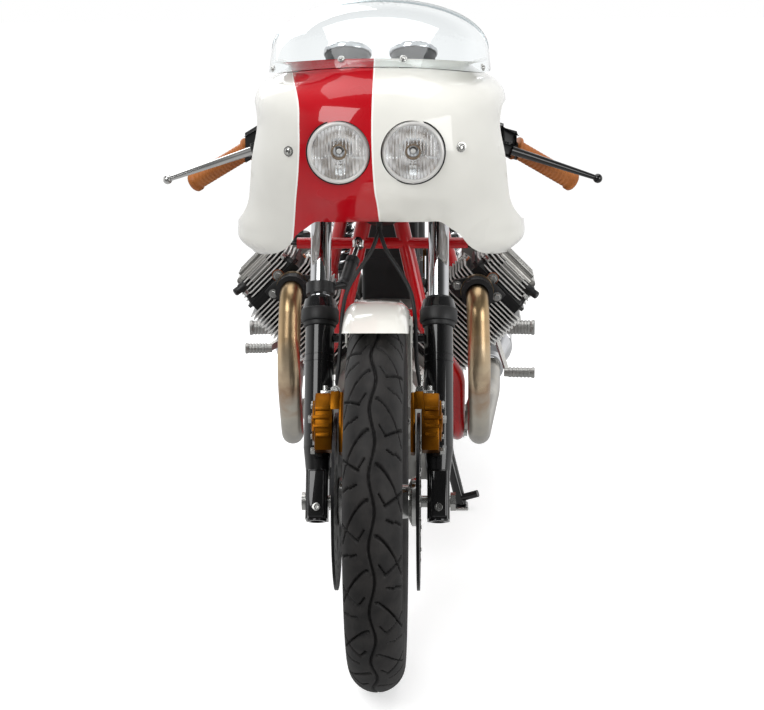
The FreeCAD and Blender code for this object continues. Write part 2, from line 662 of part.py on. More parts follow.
def swingarm():
    pivot = cross_rod(PLATE_X - 5, PIVOT_Y, PIVOT_Z, 20)
    cross = cross_rod(104, PIVOT_Y + 55, PIVOT_Z - 2, 19)
    links = [rod(V(s * 95, PIVOT_Y, PIVOT_Z), V(s * 95, PIVOT_Y + 55, PIVOT_Z - 2), 17) for s in (1, -1)]
    left = rod(V(106, PIVOT_Y + 45, PIVOT_Z - 2), V(106, REAR_Y, REAR_Z), 18)
    lug = rod(V(90, REAR_Y, REAR_Z), V(122, REAR_Y, REAR_Z), 26)
    start, joint, end = shaft_line()
    right = rod(start, joint, 24)
    shocks = []
    for s in (1, -1):
        shocks.append(rod(V(s * 94, *SHOCK_FOOT), V(s * 110, *SHOCK_FOOT), 15))
        shocks.append(rod(V(s * 100, *SHOCK_FOOT), V(s * (SHOCK_X + 14), *SHOCK_FOOT), SHOCK_PIN_R))
        shocks.append(box(min(s * 94, s * 110), max(s * 94, s * 110), SHOCK_FOOT[0] - 12,
                          SHOCK_FOOT[0] + 12, REAR_Z, SHOCK_FOOT[1]))
    shape = fused(pivot, cross, *links, left, lug, right, *shocks)
    shape = shape.cut(cross_rod(140, PIVOT_Y, PIVOT_Z, PIVOT_R + RUNNING))
    return shape.fuse(axle(REAR_AXLE, 152, 0))


def bevel_box():
    shape = turned((-84, 0), (-84, 52), (-92, 72), (-128, 72), (-140, 58), (-150, 30), (-150, 0))
    shape = moved(shape, REAR_AXLE)
    start, joint, end = shaft_line()
    neck = rod(joint, joint + (end - joint) * 0.5, 28)
    return fused(shape, neck).cut(cross_rod(160, REAR_Y, REAR_Z, AXLE_R + RUNNING))


def shock(side):
    """Twin-eye damper with its spring's outer form, seated on both pins."""
    top, foot = V(SHOCK_X, *SHOCK_TOP), V(SHOCK_X, *SHOCK_FOOT)
    length = (top - foot).Length
    shape = spun((0, 0), (12, 0), (12, 28), (27, 34), (27, 40), (20, 42), (20, length - 60),
                 (31, length - 56), (31, length - 44), (14, length - 38), (14, length), (0, length))
    coils = []
    for i in range(COILS):
        z = 46 + i * (length - 108) / (COILS - 1)
        coils.append(Part.makeTorus(COIL_R, COIL_WIRE_R, V(0, 0, z)))
    shape = fused(shape, *coils)
    shape.rotate(V(0, 0, 0), V(1, 0, 0), math.degrees(math.atan2(foot.y - top.y, top.z - foot.z)))
    shape.translate(foot)
    eyes = [rod(p - V(10, 0, 0), p + V(10, 0, 0), 16) for p in (top, foot)]
    shape = fused(shape, *eyes)
    for p in (top, foot):
        shape = shape.cut(rod(p - V(20, 0, 0), p + V(20, 0, 0), SHOCK_PIN_R + RUNNING))
    return mirrored(shape, side)


# Engine
def cylinder_place(shape, side):
    """From the cylinder's own frame, Z out of the crank, to 45 degrees on one side."""
    shape.rotate(V(0, 0, 0), V(0, 1, 0), 45)
    shape.translate(V(0, CYLINDER_Y[side], CRANK_Z))
    return shape


def on_cylinder(side, along, across, y):
    c = math.cos(math.radians(45))
    s = SIDES[side]
    return V(s * c * (along + across), CYLINDER_Y[side] + y, CRANK_Z + c * (along - across))


def crankcase():
    """Case of the vee with its round front cover, cut round the frame's lower tubes."""
    low, high = on_cylinder("left", BARREL_FOOT, 78, 0), on_cylinder("left", BARREL_FOOT, -78, 0)
    half = [(92, SUMP_Z), (112, 250), (112, 350), (low.x, low.z), (high.x, high.z)]
    face = outline(in_xz, *half, *[(-x, z) for x, z in reversed(half)])
    case = moved(face, V(0, CASE_FRONT, 0)).extrude(V(0, CASE_REAR - CASE_FRONT, 0))
    cover = spun((0, 0), (98, 0), (98, 22), (84, 30), (70, COVER_DEPTH - 5), (58, COVER_DEPTH),
                 (0, COVER_DEPTH))
    cover.rotate(V(0, 0, 0), V(1, 0, 0), 90)
    cover.translate(V(0, CASE_FRONT, CRANK_Z))
    bolts = [cross_rod(LOWER_RAIL_X, y, LOWER_RAIL_Z, 11) for y in (-225, -40)]
    shape = fused(case, cover, *bolts)
    for s in ("left", "right"):
        rails = left_rails(SEAT)[0]
        shape = shape.cut(mirrored(rails, s))
    return shape


def gearbox():
    """Casting that narrows behind the crankcase."""
    rings = [(CASE_REAR, 118, 257, 493, 2.2), (70, 112, 262, 488, 2.2), (100, 92, 290, 470, 2.6),
             (262, 74, 300, 462, 3.0)]
    return body_of(rings)


def cut_plate(half_x, half_y, corner, z, thick):
    """Flat plate across the cylinder with cut corners."""
    a, b = half_x - corner, half_y - corner
    face = outline(in_xy, (-half_x, -b), (-a, -half_y), (a, -half_y), (half_x, -b), (half_x, b),
                   (a, half_y), (-a, half_y), (-half_x, b))
    return moved(face, V(0, 0, z)).extrude(V(0, 0, thick))


def rocker_cover():
    """Tapered cover on a flange, with a stud's pocket at each corner."""
    base = HEAD_TOP + COVER_FLANGE
    loops = []
    for (x, y), z in ((COVER_FOOT_HALF, base), (COVER_TOP_HALF, COVER_TOP)):
        corners = [V(-x, -y, z), V(x, -y, z), V(x, y, z), V(-x, y, z)]
        loops.append(Part.makePolygon(corners + corners[:1]))
    cover = Part.makeLoft(loops, True, True)
    cover = cover.makeFillet(7, [e for e in cover.Edges if e.BoundBox.ZMax > COVER_TOP - 1])
    half_x, half_y = (0.85 * half for half in COVER_FOOT_HALF)
    places = [(half_x * sx, half_y * sy) for sx in (1, -1) for sy in (1, -1)]
    pockets = [rod(V(x, y, base + 9), V(x, y, COVER_TOP + 1), STUD_R + 4) for x, y in places]
    studs = [rod(V(x, y, base), V(x, y, base + 16), STUD_R - 3) for x, y in places]
    cover = cover.cut(Part.makeCompound(pockets))
    return [cover, cut_plate(66, 61, 10, HEAD_TOP, COVER_FLANGE)] + studs


def cylinder(side):
    """Finned barrel and head under a rocker cover, with both ports."""
    stack = [rod(V(0, 0, BARREL_FOOT), V(0, 0, HEAD_FOOT), BARREL_R)]
    stack.append(box(-58, 58, -58, 58, HEAD_FOOT, HEAD_TOP))
    z = BARREL_FOOT + 12
    while z + FIN_T < HEAD_TOP - 4:
        half = FIN_HALF if z < HEAD_FOOT - FIN_T else HEAD_FIN_HALF
        stack.append(cut_plate(half, half, FIN_CORNER, z, FIN_T))
        z += FIN_PITCH
    shape = cylinder_place(fused(*stack, *rocker_cover()), "left")
    shape.translate(V(0, CYLINDER_Y[side] - CYLINDER_Y["left"], 0))
    for front, far in ((-58, -80), (58, 80)):
        start = on_cylinder(side, PORT_ALONG, PORT_ACROSS, front * 0.9)
        end = on_cylinder(side, PORT_ALONG, PORT_ACROSS, far)
        port = rod(start, end, PORT_R)
        shape = shape.fuse(mirrored(port, side))
    return mirrored(shape.removeSplitter(), side)


def muffler_ends():
    return V(214, 252, 302), V(236, 860, 388)


def header_points(side):
    port = on_cylinder(side, PORT_ALONG, PORT_ACROSS, -80)
    x, y, z = abs(port.x), port.y, port.z
    start, end = muffler_ends()
    return [V(x, y, z), V(x, y - 66, z), V(178, -374, 445), V(178, -282, LOWER_RAIL_Z + 6),
            start - (end - start) * 0.22, start]


def headers():
    """Both exhaust pipes and the balance pipe under the engine."""
    pipes = []
    for side in SIDES:
        points = header_points(side)
        pipe = bent_rod(points, [45, 150, 90, 200], HEADER_R)
        flange = rod(points[0], points[0] - V(0, 12, 0), 31)
        pipes += [mirrored(pipe, side), mirrored(flange, side)]
    balance = bent_rod([V(-178, 40, 284), V(-158, 40, 228), V(158, 40, 228), V(178, 40, 284)],
                       [28, 28], 16)
    return fused(balance, *pipes)


def muffler(side):
    """Long taper, barrel and short taper to an open end."""
    start, end = muffler_ends()
    length = (end - start).Length
    shape = spun((0, 0), (HEADER_R + 3, 0), (HEADER_R + 4, 30), (MUFFLER_R, 110),
                 (MUFFLER_R, length - 90), (30, length), (22, length), (22, length - 60), (0, length - 60))
    way = (end - start).normalize()
    turn = FreeCAD.Rotation(V(0, 0, 1), way)
    shape.Placement = FreeCAD.Placement(start + way * SEAT, turn)
    return mirrored(shape, side)


def carburettor(side):
    """Intake stub, body with float bowl and open bellmouth behind the head."""
    start = on_cylinder(side, PORT_ALONG, PORT_ACROSS, 80)
    x, y, z = abs(start.x), start.y, start.z
    stub = rod(V(x, y, z), V(x, y + 34, z), 20)
    body = box(x - 27, x + 27, y + 30, y + 82, z - 26, z + 44)
    bowl = rod(V(x, y + 56, z - 62), V(x, y + 56, z - 24), 24)
    mouth = spun((0, 0), (22, 0), (24, 14), (34, 30), (30, 31), (18, 10), (0, 10))
    mouth.rotate(V(0, 0, 0), V(1, 0, 0), -90)
    mouth.translate(V(x, y + 82, z))
    return mirrored(fused(stub, body, bowl, mouth), side)


def battery_box():
    """Box with rounded corners, an overhanging lid and a strap round its middle."""
    top = BATTERY_Z + BATTERY_H
    body = rounded_box(BATTERY_HALF, 8, BATTERY_Z, top - 2)
    lid = rounded_box(BATTERY_HALF + 4, 10, top - 22, top)
    strap = rounded_box(BATTERY_HALF + 2, 9, BATTERY_Z + 80, BATTERY_Z + 104)
    return moved(fused(body, lid, strap), V(0, BATTERY_Y, 0))


def rounded_box(half, corner, low, high):
    shape = box(-half, half, -half, half, low, high)
    return shape.makeFillet(corner, [e for e in shape.Edges if abs(e.tangentAt(e.FirstParameter).z) > 0.9])


# Bodywork
def fairing_grid():
    """Points of the fairing's skin: level, half width, nose and rear edge."""
    levels = [(-234, 214, -242, -96), (-212, 240, -256, -94), (-186, 254, -276, -92),
              (-149, 246, -306, -90), (-99, 240, -342, -88), (-44, 234, -364, -86),
              (11, 231, -366, -82), (66, 212, -340, -78), (100, 200, -299, -74)]
    grid = []
    for level, (z, half, nose, rear) in enumerate(levels):
        row = []
        for j in range(ACROSS + 1):
            angle = math.pi * (j / ACROSS - 0.5)
            c, s = math.cos(angle), math.sin(angle)
            x = half * math.copysign(abs(s) ** ROUNDNESS, s)
            y = rear + (nose - rear) * abs(c) ** ROUNDNESS
            lift = 20 * c * c if level == len(levels) - 1 else 0
            row.append(at_head(x, y, z + lift))
        grid.append(row)
    return grid


def fairing():
    shape = skin(fairing_grid(), FAIRING_T)
    arch = outline(in_xz, (0, -160), (88, -162), (122, -168, 143, -186), (156, -206, 172, -222),
                   (205, -232, 262, -212), (262, -284), (-262, -284), (-262, -212),
                   (-205, -232, -172, -222), (-156, -206, -143, -186), (-122, -168, -88, -162))
    arch = moved(arch, at_head(0, -444, 0)).extrude(V(0, 420, 0))
    hand = outline(in_yz, (-24, -182), (-92, -182), (-180, -150, -218, -84), (-218, -24),
                   (-204, 16, -164, 32), (-24, 32))
    hand = moved(hand, at_head(-300, 0, 0)).extrude(V(600, 0, 0))
    lamps = [rod(V(s * LAMP_X, LAMP.y - 80, LAMP.z), V(s * LAMP_X, LAMP.y + 60, LAMP.z), LAMP_R + 1)
             for s in (1, -1)]
    return shape.cut(Part.makeCompound([arch])).cut(hand).cut(Part.makeCompound(lamps))


def windscreen():
    """Bubble that overlaps the fairing's top edge."""
    grid = []
    rows = 7
    for i in range(rows):
        v = i / (rows - 1)
        row = []
        for j in range(ACROSS + 1):
            angle = math.pi * (j / ACROSS - 0.5)
            c, s = math.cos(angle), math.sin(angle)
            base = at_head(207 * math.copysign(abs(s) ** ROUNDNESS, s),
                           -76 - 236 * abs(c) ** ROUNDNESS, 82 + 26 * c * c)
            edge = at_head(204 * s, -80 - 12 * c, 106 + 95 * abs(c) ** 0.9)
            bulge = V(0, -0.35, 0.6) * (44 * 4 * v * (1 - v) * c)
            row.append(base + (edge - base) * v + bulge)
        grid.append(row)
    return skin(grid, FAIRING_T)


def headlight(side):
    """Bowl, rim and domed lens of one lamp."""
    r = LAMP_R
    shape = spun((0, -6), (r - 8, 0), (r - 4, -2), (r, 3), (r, 10), (r - 3, 14), (r - 4, 40),
                 (30, 74), (0, 78))
    shape.rotate(V(0, 0, 0), V(1, 0, 0), -90)
    return moved(shape, V(SIDES[side] * LAMP_X, LAMP.y - 8, LAMP.z))


def tank():
    """Long tank over the spine, from behind the headstock to the seat, with its filler cap."""
    nose = on_axis(UPPER_YOKE - CLEAR).y + HEADSTOCK_R / COS_RAKE + CLEAR
    length = 118 - nose
    sections = [(0, 62, 31, 108, 2.4), (0.07, 104, 21, 140, 2.4), (0.3, 140, 11, 161, 2.6),
                (0.55, 147, 6, 159, 2.6), (0.78, 120, 6, 140, 2.6), (1, 96, 8, 98, 2.6)]
    shape = body_of([(nose + share * length, half, SEAT_PAN_Z + low, SEAT_PAN_Z + high, square)
                     for share, half, low, high, square in sections])
    front, rear = spine_ends()
    wide = SPINE_R + SEAT
    under = rear.z - 100
    tunnel = outline(in_yz, (front.y, front.z), (rear.y, rear.z), (rear.y, under), (front.y, under))
    tunnel = moved(tunnel, V(-wide, 0, 0)).extrude(V(2 * wide, 0, 0))
    cap = spun((0, 0), (36, 0), (38, 6), (36, 14), (20, 19), (0, 19))
    cap = moved(cap, V(0, nose + 0.3 * length, SEAT_PAN_Z + 156))
    return shape.cut(rod(front, rear, wide)).cut(tunnel).fuse(cap)


def seat():
    pan = SEAT_PAN_Z
    shape = body_of([(120, 84, pan - 14, pan + 62, 2.8), (200, 104, pan - 14, pan + 62, 3.0),
                     (350, 119, pan - 14, pan + 64, 3.0), (500, 121, pan - 14, pan + 72, 3.0),
                     (572, 114, pan - 12, pan + 88, 3.0)])
    return shape.cut(box(-200, 200, 0, 700, pan - 100, pan))


def tail():
    """Seat hump with the round tail lamp."""
    pan = TAIL_PAN_Z
    shape = body_of([(572 + SEAT, 117, pan - 21, pan + 87, 2.8), (625, 120, pan - 19, pan + 109, 2.6),
                     (700, 108, pan - 7, pan + 109, 2.6), (790, 88, pan + 19, pan + 97, 2.4),
                     (846, 60, pan + 41, pan + 81, 2.2)])
    shape = shape.cut(box(-200, 200, 500, 900, pan - 100, pan))
    lamp = rod(V(0, 835, pan + 61), V(0, 874, pan + 61), 19)
    return shape.fuse(lamp)


def rear_mudguard():
    """Wide crowned guard that hangs from the tail's tube by a bracket."""
    r, half, t = REAR_TYRE_R + REAR_GUARD_GAP, REAR_GUARD_HALF, REAR_GUARD_T
    band = outline(in_xz, (half, r - 24), (half - 16, r - 6, 0, r), (16 - half, r - 6, -half, r - 24),
                   (t - half, r - 24), (16 + t - half, r - 6 - t, 0, r - t),
                   (half - 16 - t, r - 6 - t, half - t, r - 24))
    band.rotate(V(0, 0, 0), V(1, 0, 0), REAR_GUARD_AHEAD)
    guard = moved(band.revolve(V(0, 0, 0), V(1, 0, 0), -REAR_GUARD_SPAN), REAR_AXLE)
    z = REAR_Z + math.sqrt(r * r - (REAR_Y - TAIL_TUBE_Y) ** 2)
    bracket = box(-14, 14, TAIL_TUBE_Y - 6, TAIL_TUBE_Y + 6, z - 4, TAIL_PAN_Z - 2 * TAIL_TUBE_R)
    tube = cross_rod(90, TAIL_TUBE_Y, TAIL_PAN_Z - SEAT - TAIL_TUBE_R, TAIL_TUBE_R + SEAT)
    return guard.fuse(bracket).cut(tube)


def flat_arm(start, end, first, last):
    """Flat arm, deeper at its start than at its end."""
    down = V(1, 0, 0).cross(end - start).normalize()
    loops = []
    for place, depth in ((start, first), (end, last)):
        corners = [place + V(4 * across, 0, 0) + down * (depth / 2 * up)
                   for across, up in ((1, 1), (-1, 1), (-1, -1), (1, -1))]
        loops.append(Part.makePolygon(corners + corners[:1]))
    return Part.makeLoft(loops, True, True)


def rearset(side):
    """Footrest on its hanger, with the pedal or gear lever ahead of it."""
    x0 = 170 + SEAT
    hanger = rod(V(x0, FOOTREST_Y, FOOTREST_Z), V(218, FOOTREST_Y, FOOTREST_Z), 12)
    peg = rod(V(FOOTREST_INNER, FOOTREST_Y, FOOTREST_Z),
              V(FOOTREST_OUTER, FOOTREST_Y - 6, FOOTREST_Z), FOOTREST_R)
    pieces = [hanger, peg]
    if side == "left":
        arm = flat_arm(V(213, GEAR_HUB_Y, GEAR_HUB_Z), V(245, GEAR_TOE_Y, GEAR_TOE_Z), 24, 14)
        hub = rod(V(197, GEAR_HUB_Y, GEAR_HUB_Z), V(220, GEAR_HUB_Y, GEAR_HUB_Z), 13)
        toe = rod(V(238, GEAR_TOE_Y, GEAR_TOE_Z), V(300, GEAR_TOE_Y - 4, GEAR_TOE_Z), TOE_R)
        link = outline(in_yz, (242, 392), (238, 404), (210, 427), (192, 420), (193, 402), (228, 382))
        link = moved(link, V(199, 0, 0)).extrude(V(8, 0, 0))
        pieces += [arm, hub, toe, link]
    else:
        hub = rod(V(200, BRAKE_HUB_Y, BRAKE_HUB_Z), V(218, BRAKE_HUB_Y, BRAKE_HUB_Z), 13)
        arm = flat_arm(V(211, BRAKE_HUB_Y, BRAKE_HUB_Z), V(254, BRAKE_TOE_Y, BRAKE_TOE_Z), 22, 13)
        toe = rod(V(248, BRAKE_TOE_Y, BRAKE_TOE_Z), V(302, BRAKE_TOE_Y - 2, BRAKE_TOE_Z), TOE_R)
        pieces += [hub, arm, toe]
    return mirrored(fused(*pieces), side)


def rear_caliper():
    plate = rod(V(81, REAR_Y, REAR_Z), V(87, REAR_Y, REAR_Z), 24)
    arm = box(81, 87, REAR_Y + 6, REAR_Y + 64, REAR_Z + 10, REAR_Z + 62)
    body = box(60, 100, REAR_Y + 40, REAR_Y + 96, REAR_Z + 50, REAR_Z + 108)
    slot = rod(V(65, REAR_Y, REAR_Z), V(80, REAR_Y, REAR_Z), REAR_DISC_R + CLEAR)
    shape = fused(plate, arm, body).cut(slot)
    return shape.cut(cross_rod(160, REAR_Y, REAR_Z, AXLE_R + RUNNING))


def centre_stand():
    """Two splayed legs on a tube about the stand's pin, with feet on the ground."""
    pivot = cross_rod(PLATE_X - 2, STAND_Y, STAND_Z, 14)
    legs = []
    for s in (1, -1):
        legs.append(bent_rod([V(s * 104, STAND_Y, STAND_Z), V(s * 122, 202, 120), V(s * 150, 190, 8)],
                             [120], 12))
        legs.append(box(min(s * 136, s * 164), max(s * 136, s * 164), 168, 208, 0, 8))
    brace = cross_rod(118, 204, 132, 9)
    tang = rod(V(148, 188, 22), V(186, 178, 36), 8)
    shape = fused(pivot, brace, tang, *legs)
    shape = shape.cut(box(-300, 300, 0, 400, -60, 0))
    return shape.cut(cross_rod(200, STAND_Y, STAND_Z, STAND_PIN_R + RUNNING))


def all_nodes():
    nodes = {
        "frame": frame(), "swingarm": swingarm(), "bevel_box": bevel_box(),
        "crankcase": crankcase(), "gearbox": gearbox(), "headers": headers(), "battery_box": battery_box(),
        "fairing": fairing(), "windscreen": windscreen(), "tank": tank(), "seat": seat(), "tail": tail(),
        "rear_mudguard": rear_mudguard(), "rear_caliper": rear_caliper(),
        "centre_stand": centre_stand(),
        "fork_yokes": fork_yokes(), "front_axle": axle(FRONT_AXLE, FORK_X + 20, AXLE_BORE_R),
        "front_mudguard": front_mudguard(), "instruments": instruments(), "brake_hoses": brake_hoses(),
        "steering_damper": steering_damper(),
        "front_tyre": tyre(FRONT_TYRE_R, FRONT_TYRE_W, FRONT_RIM_HALF, FRONT_AXLE),
        "front_wheel": front_wheel(),
        "rear_tyre": tyre(REAR_TYRE_R, REAR_TYRE_W, REAR_RIM_HALF, REAR_AXLE),
        "rear_wheel": rear_wheel(),
    }
    paired = {"cylinder": cylinder, "carburettor": carburettor, "muffler": muffler, "headlight": headlight,
              "shock": shock, "rearset": rearset, "fork_leg": fork_leg, "fork_tube": fork_tube,
              "caliper": caliper, "clip_on": clip_on}
    for name, make in paired.items():
        for side in SIDES:
            nodes[name + "_" + side] = make(side)
    return nodes


for name, shape in all_nodes().items():
    shape.exportStep("parts/" + name + ".step")
    print(name, shape.ShapeType, len(shape.Solids), shape.isValid(), round(shape.Volume))
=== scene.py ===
import math
from functools import partial

import bmesh
import bpy
from mathutils import Matrix, Vector


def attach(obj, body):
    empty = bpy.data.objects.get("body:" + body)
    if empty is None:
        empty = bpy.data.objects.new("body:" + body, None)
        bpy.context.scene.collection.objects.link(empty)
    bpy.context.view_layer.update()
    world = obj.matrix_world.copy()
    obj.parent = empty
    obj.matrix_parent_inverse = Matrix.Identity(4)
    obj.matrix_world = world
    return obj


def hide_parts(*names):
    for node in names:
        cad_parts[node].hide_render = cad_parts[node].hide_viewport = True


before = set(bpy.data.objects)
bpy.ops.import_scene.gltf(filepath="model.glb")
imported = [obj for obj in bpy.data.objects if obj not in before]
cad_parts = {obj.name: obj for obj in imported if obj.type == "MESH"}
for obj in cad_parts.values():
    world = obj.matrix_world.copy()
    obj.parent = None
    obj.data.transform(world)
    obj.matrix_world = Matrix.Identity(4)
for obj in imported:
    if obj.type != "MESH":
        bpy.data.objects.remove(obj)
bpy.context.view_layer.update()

MM = 0.001

# Driving places, as in the part's source
RAKE = math.radians(27.5)
SIDEWAYS, BACK, UP = Vector((1, 0, 0)), Vector((0, 1, 0)), Vector((0, 0, 1))
UP_FORK = Vector((0, math.sin(RAKE), math.cos(RAKE)))
AHEAD = Vector((0, -math.cos(RAKE), math.sin(RAKE)))
BIKE_AXES, FORK_AXES = (SIDEWAYS, BACK, UP), (SIDEWAYS, UP_FORK, AHEAD)
FRONT_AXLE = Vector((0, -744.5, 319))
REAR_AXLE = Vector((0, 730.5, 353))
FORK_X = 102.5
UPPER_YOKE = 725
CRANK_Z = 375
CYLINDER_Y = {"left": -215, "right": -185}
SIDES = {"left": 1, "right": -1}
DIAGONAL = math.sqrt(0.5)
HEAD_AT, COVER_AT = 213, 347    # where the head and the rocker cover begin along a cylinder
FIN_HALF, FIN_CORNER = 68.6, 16    # half width of the cylinder's fins and the cut of their corners
FLUTE, FLUTE_DEPTH = 5.6, 0.85    # pitch and depth of the lamp glass's flutes


def point(x, y, z):
    return Vector((x, y, z))


def on_fork(along, side=0.0, ahead=0.0):
    """Point by its distance up the fork from the axle, to the side and ahead."""
    return FRONT_AXLE + UP_FORK * along + SIDEWAYS * side + AHEAD * ahead


def at_head(x, y, z):
    """Point by its offset from the steering axis at the upper yoke."""
    return on_fork(UPPER_YOKE, 0, -60) + point(x, y, z)


def on_cylinder(side, along, across, y):
    """Point by its distance out along a cylinder, across it in the bike's width, and in length."""
    return point(SIDES[side] * DIAGONAL * (along + across), CYLINDER_Y[side] + y,
        CRANK_Z + DIAGONAL * (along - across))


def around(centre, reach, share, first=BACK, second=UP):
    """Point on a circle, at a share of a full turn from its first direction to its second."""
    angle = math.tau * share
    return centre + (first * math.cos(angle) + second * math.sin(angle)) * reach


def clamped(value):
    return min(1.0, max(0.0, value))


def rounded(value, power):
    """Power of a sine or cosine with its sign kept, which squares a circle off."""
    return math.copysign(abs(value) ** power, value)


# Shader building
def linear(code):
    """sRGB hex to the linear colour that a shader takes."""
    parts = [int(code[i:i + 2], 16) / 255 for i in (0, 2, 4)]
    return [p / 12.92 if p <= 0.04045 else ((p + 0.055) / 1.055) ** 2.4 for p in parts] + [1.0]


def add(tree, kind, *inputs, named=None, **settings):
    """Adds one node with its settings and links, and gives back its outputs.

    An input takes a socket, a number or a hex colour, by its position or by its name or number.
    """
    node = tree.nodes.new("ShaderNode" + kind)
    for name, value in settings.items():
        setattr(node, name, value)
    for key, value in [*enumerate(inputs), *(named or {}).items()]:
        if isinstance(value, bpy.types.NodeSocket):
            tree.links.new(value, node.inputs[key])
        else:
            node.inputs[key].default_value = linear(value) if isinstance(value, str) else value
    return node.outputs


# Sockets of a Mix node for colours: its share, its two colours and the colour that comes out
SHARE, FIRST, SECOND, COLOUR = 0, 6, 7, 2


def surface(name, colour, metallic, roughness, **inputs):
    """Material with a plain principled shader, ready for its patterns."""
    mat = bpy.data.materials.new(name)
    mat.use_nodes = True
    shader = mat.node_tree.nodes["Principled BSDF"]
    values = {"Base Color": linear(colour), "Metallic": metallic, "Roughness": roughness}
    values.update({key.replace("_", " "): value for key, value in inputs.items()})
    for key, value in values.items():
        shader.inputs[key].default_value = value
    return mat, mat.node_tree, shader


def wandering(tree, place, size_mm, detail, *spans):
    """Level that wanders over a real size, carried from one span to another."""
    cloud = {"Vector": place, "Scale": 1 / (size_mm * MM), "Detail": detail}
    return add(tree, "MapRange", add(tree, "TexNoise", named=cloud)["Fac"], *spans)[0]


def grain(tree, shader, size_mm, depth_mm, smooth, rough):
    """Fine surface relief of a real size, and gloss that drifts between two values."""
    place = add(tree, "TexCoord")["Object"]
    tree.links.new(wandering(tree, place, 90, 3, 0, 1, smooth, rough), shader.inputs["Roughness"])
    relief = add(tree, "TexNoise", named={"Vector": place, "Scale": 1 / (size_mm * MM)})["Fac"]
    bump = add(tree, "Bump", named={"Distance": depth_mm * MM, "Height": relief})[0]
    tree.links.new(bump, shader.inputs["Normal"])
    return place


def drift(tree, place, low, high, size_mm):
    """Colour that wanders between two near tones."""
    share = wandering(tree, place, size_mm, 3, 0.35, 0.65)
    return add(tree, "Mix", named={SHARE: share, FIRST: low, SECOND: high}, data_type="RGBA")[COLOUR]


def edge_line(tree, height, points):
    """X of a painted edge as a smooth function of height, from its (z, x) points in mm."""
    low, high, span = points[0][0], points[-1][0], 400
    line = add(tree, "FloatCurve", named={"Value": add(tree, "MapRange", height, low * MM, high * MM)[0]})[0]
    mapping = line.node.mapping
    curve = mapping.curves[0]
    while len(curve.points) < len(points):
        curve.points.new(0.5, 0.5)
    for spot, (z, x) in zip(curve.points, points):
        spot.location = ((z - low) / (high - low), 0.5 + x / span)
    mapping.update()
    return add(tree, "MapRange", line, 0, 1, -span / 2 * MM, span / 2 * MM)[0]


# Materials
def plain(name, low, high, metallic, smooth, rough, size_mm, depth_mm, wander_mm, **inputs):
    """One tone that wanders a little over a grain of a real size."""
    mat, tree, shader = surface(name, low, metallic, smooth, **inputs)
    place = grain(tree, shader, size_mm, depth_mm, smooth, rough)
    tree.links.new(drift(tree, place, low, high, wander_mm), shader.inputs["Base Color"])
    return mat


LACQUER = {"Coat_Weight": 1.0, "Coat_Roughness": 0.03, "Specular_IOR_Level": 0.1, "Roughness": 0.3}


def paint(name, low, high):
    """Two-pack paint under lacquer: a sharp clear gloss over a slightly softer colour."""
    return plain(name, low, high, 0.0, 0.24, 0.34, 3.0, 0.006, 160, **LACQUER)


def panel_paint(name, outer, inner):
    """Off-white lacquered paint with a red panel between two edges and white pinstripes along them."""
    mat, tree, shader = surface(name, "E4E3DC", 0.0, 0.3, **LACQUER)
    node = partial(add, tree)
    place = grain(tree, shader, 3.0, 0.006, 0.24, 0.34)
    across = node("SeparateXYZ", place)
    past = [node("Math", across["X"], edge_line(tree, across["Z"], points), operation="SUBTRACT")[0]
        for points in (outer, inner)]
    begun = node("Math", past[0], 0.0, operation="GREATER_THAN")[0]
    before_end = node("Math", past[1], 0.0, operation="LESS_THAN")[0]
    inside = node("Math", begun, before_end, operation="MULTIPLY")[0]
    gaps = [node("Math", p, operation="ABSOLUTE")[0] for p in past]
    stripes = [node("Math", gap, 1.4 * MM, operation="LESS_THAN")[0] for gap in gaps]
    stripe = node("Math", *stripes, operation="MAXIMUM")[0]
    white = drift(tree, place, "E0DFD8", "E9E8E1", 160)
    red = drift(tree, place, "AD0011", "BC0015", 160)
    panel = node("Mix", named={SHARE: inside, FIRST: white, SECOND: red}, data_type="RGBA")[COLOUR]
    colour = node("Mix", named={SHARE: stripe, FIRST: panel, SECOND: "FAFAF6"}, data_type="RGBA")[COLOUR]
    tree.links.new(colour, shader.inputs["Base Color"])
    return mat


def metal(name, low, high, smooth, rough, size_mm=0.6, depth_mm=0.01):
    """Bare or plated metal: its tone, its grain and how sharp its reflections are."""
    return plain(name, low, high, 1.0, smooth, rough, size_mm, depth_mm, 40)


def soft(name, low, high, smooth, rough, size_mm, depth_mm):
    """Rubber, plastic or leather: a soft sheen over a moulded or natural grain."""
    return plain(name, low, high, 0.0, smooth, rough, size_mm, depth_mm, 50)


def clear(name, colour, roughness, ior, shine=0.5):
    """Clear sheet or glass, seen through with sharp reflections."""
    return surface(name, colour, 0.0, roughness, Transmission_Weight=1.0, IOR=ior,
        Specular_IOR_Level=shine)[0]


def heat_tinted():
    """Header pipe: straw and bronze blotches near the port, plain grey steel lower down."""
    mat, tree, shader = surface("heat_tinted_steel", "A08A68", 1.0, 0.3)
    node = partial(add, tree)
    place = grain(tree, shader, 1.2, 0.006, 0.2, 0.42)
    cloud = node("TexNoise", named={"Vector": place, "Scale": 1 / (34 * MM), "Detail": 4})["Fac"]
    blotch = node("Math", cloud, 0.12, operation="MULTIPLY")[0]
    level = node("Math", node("SeparateXYZ", place)["Z"], blotch, operation="ADD")[0]
    tone = node("ValToRGB", node("MapRange", level, 0.36, 0.72)[0])[0]
    tones = tone.node.color_ramp.elements
    tones[0].color, tones[1].color = linear("B3B0A9"), linear("937B63")
    for position, code in ((0.16, "CAC4B7"), (0.3, "B89C82"), (0.42, "E4CFAF"), (0.6, "C8AB84"),
            (0.8, "A9916D")):
        tones.new(position).color = linear(code)
    tree.links.new(tone, shader.inputs["Base Color"])
    return mat


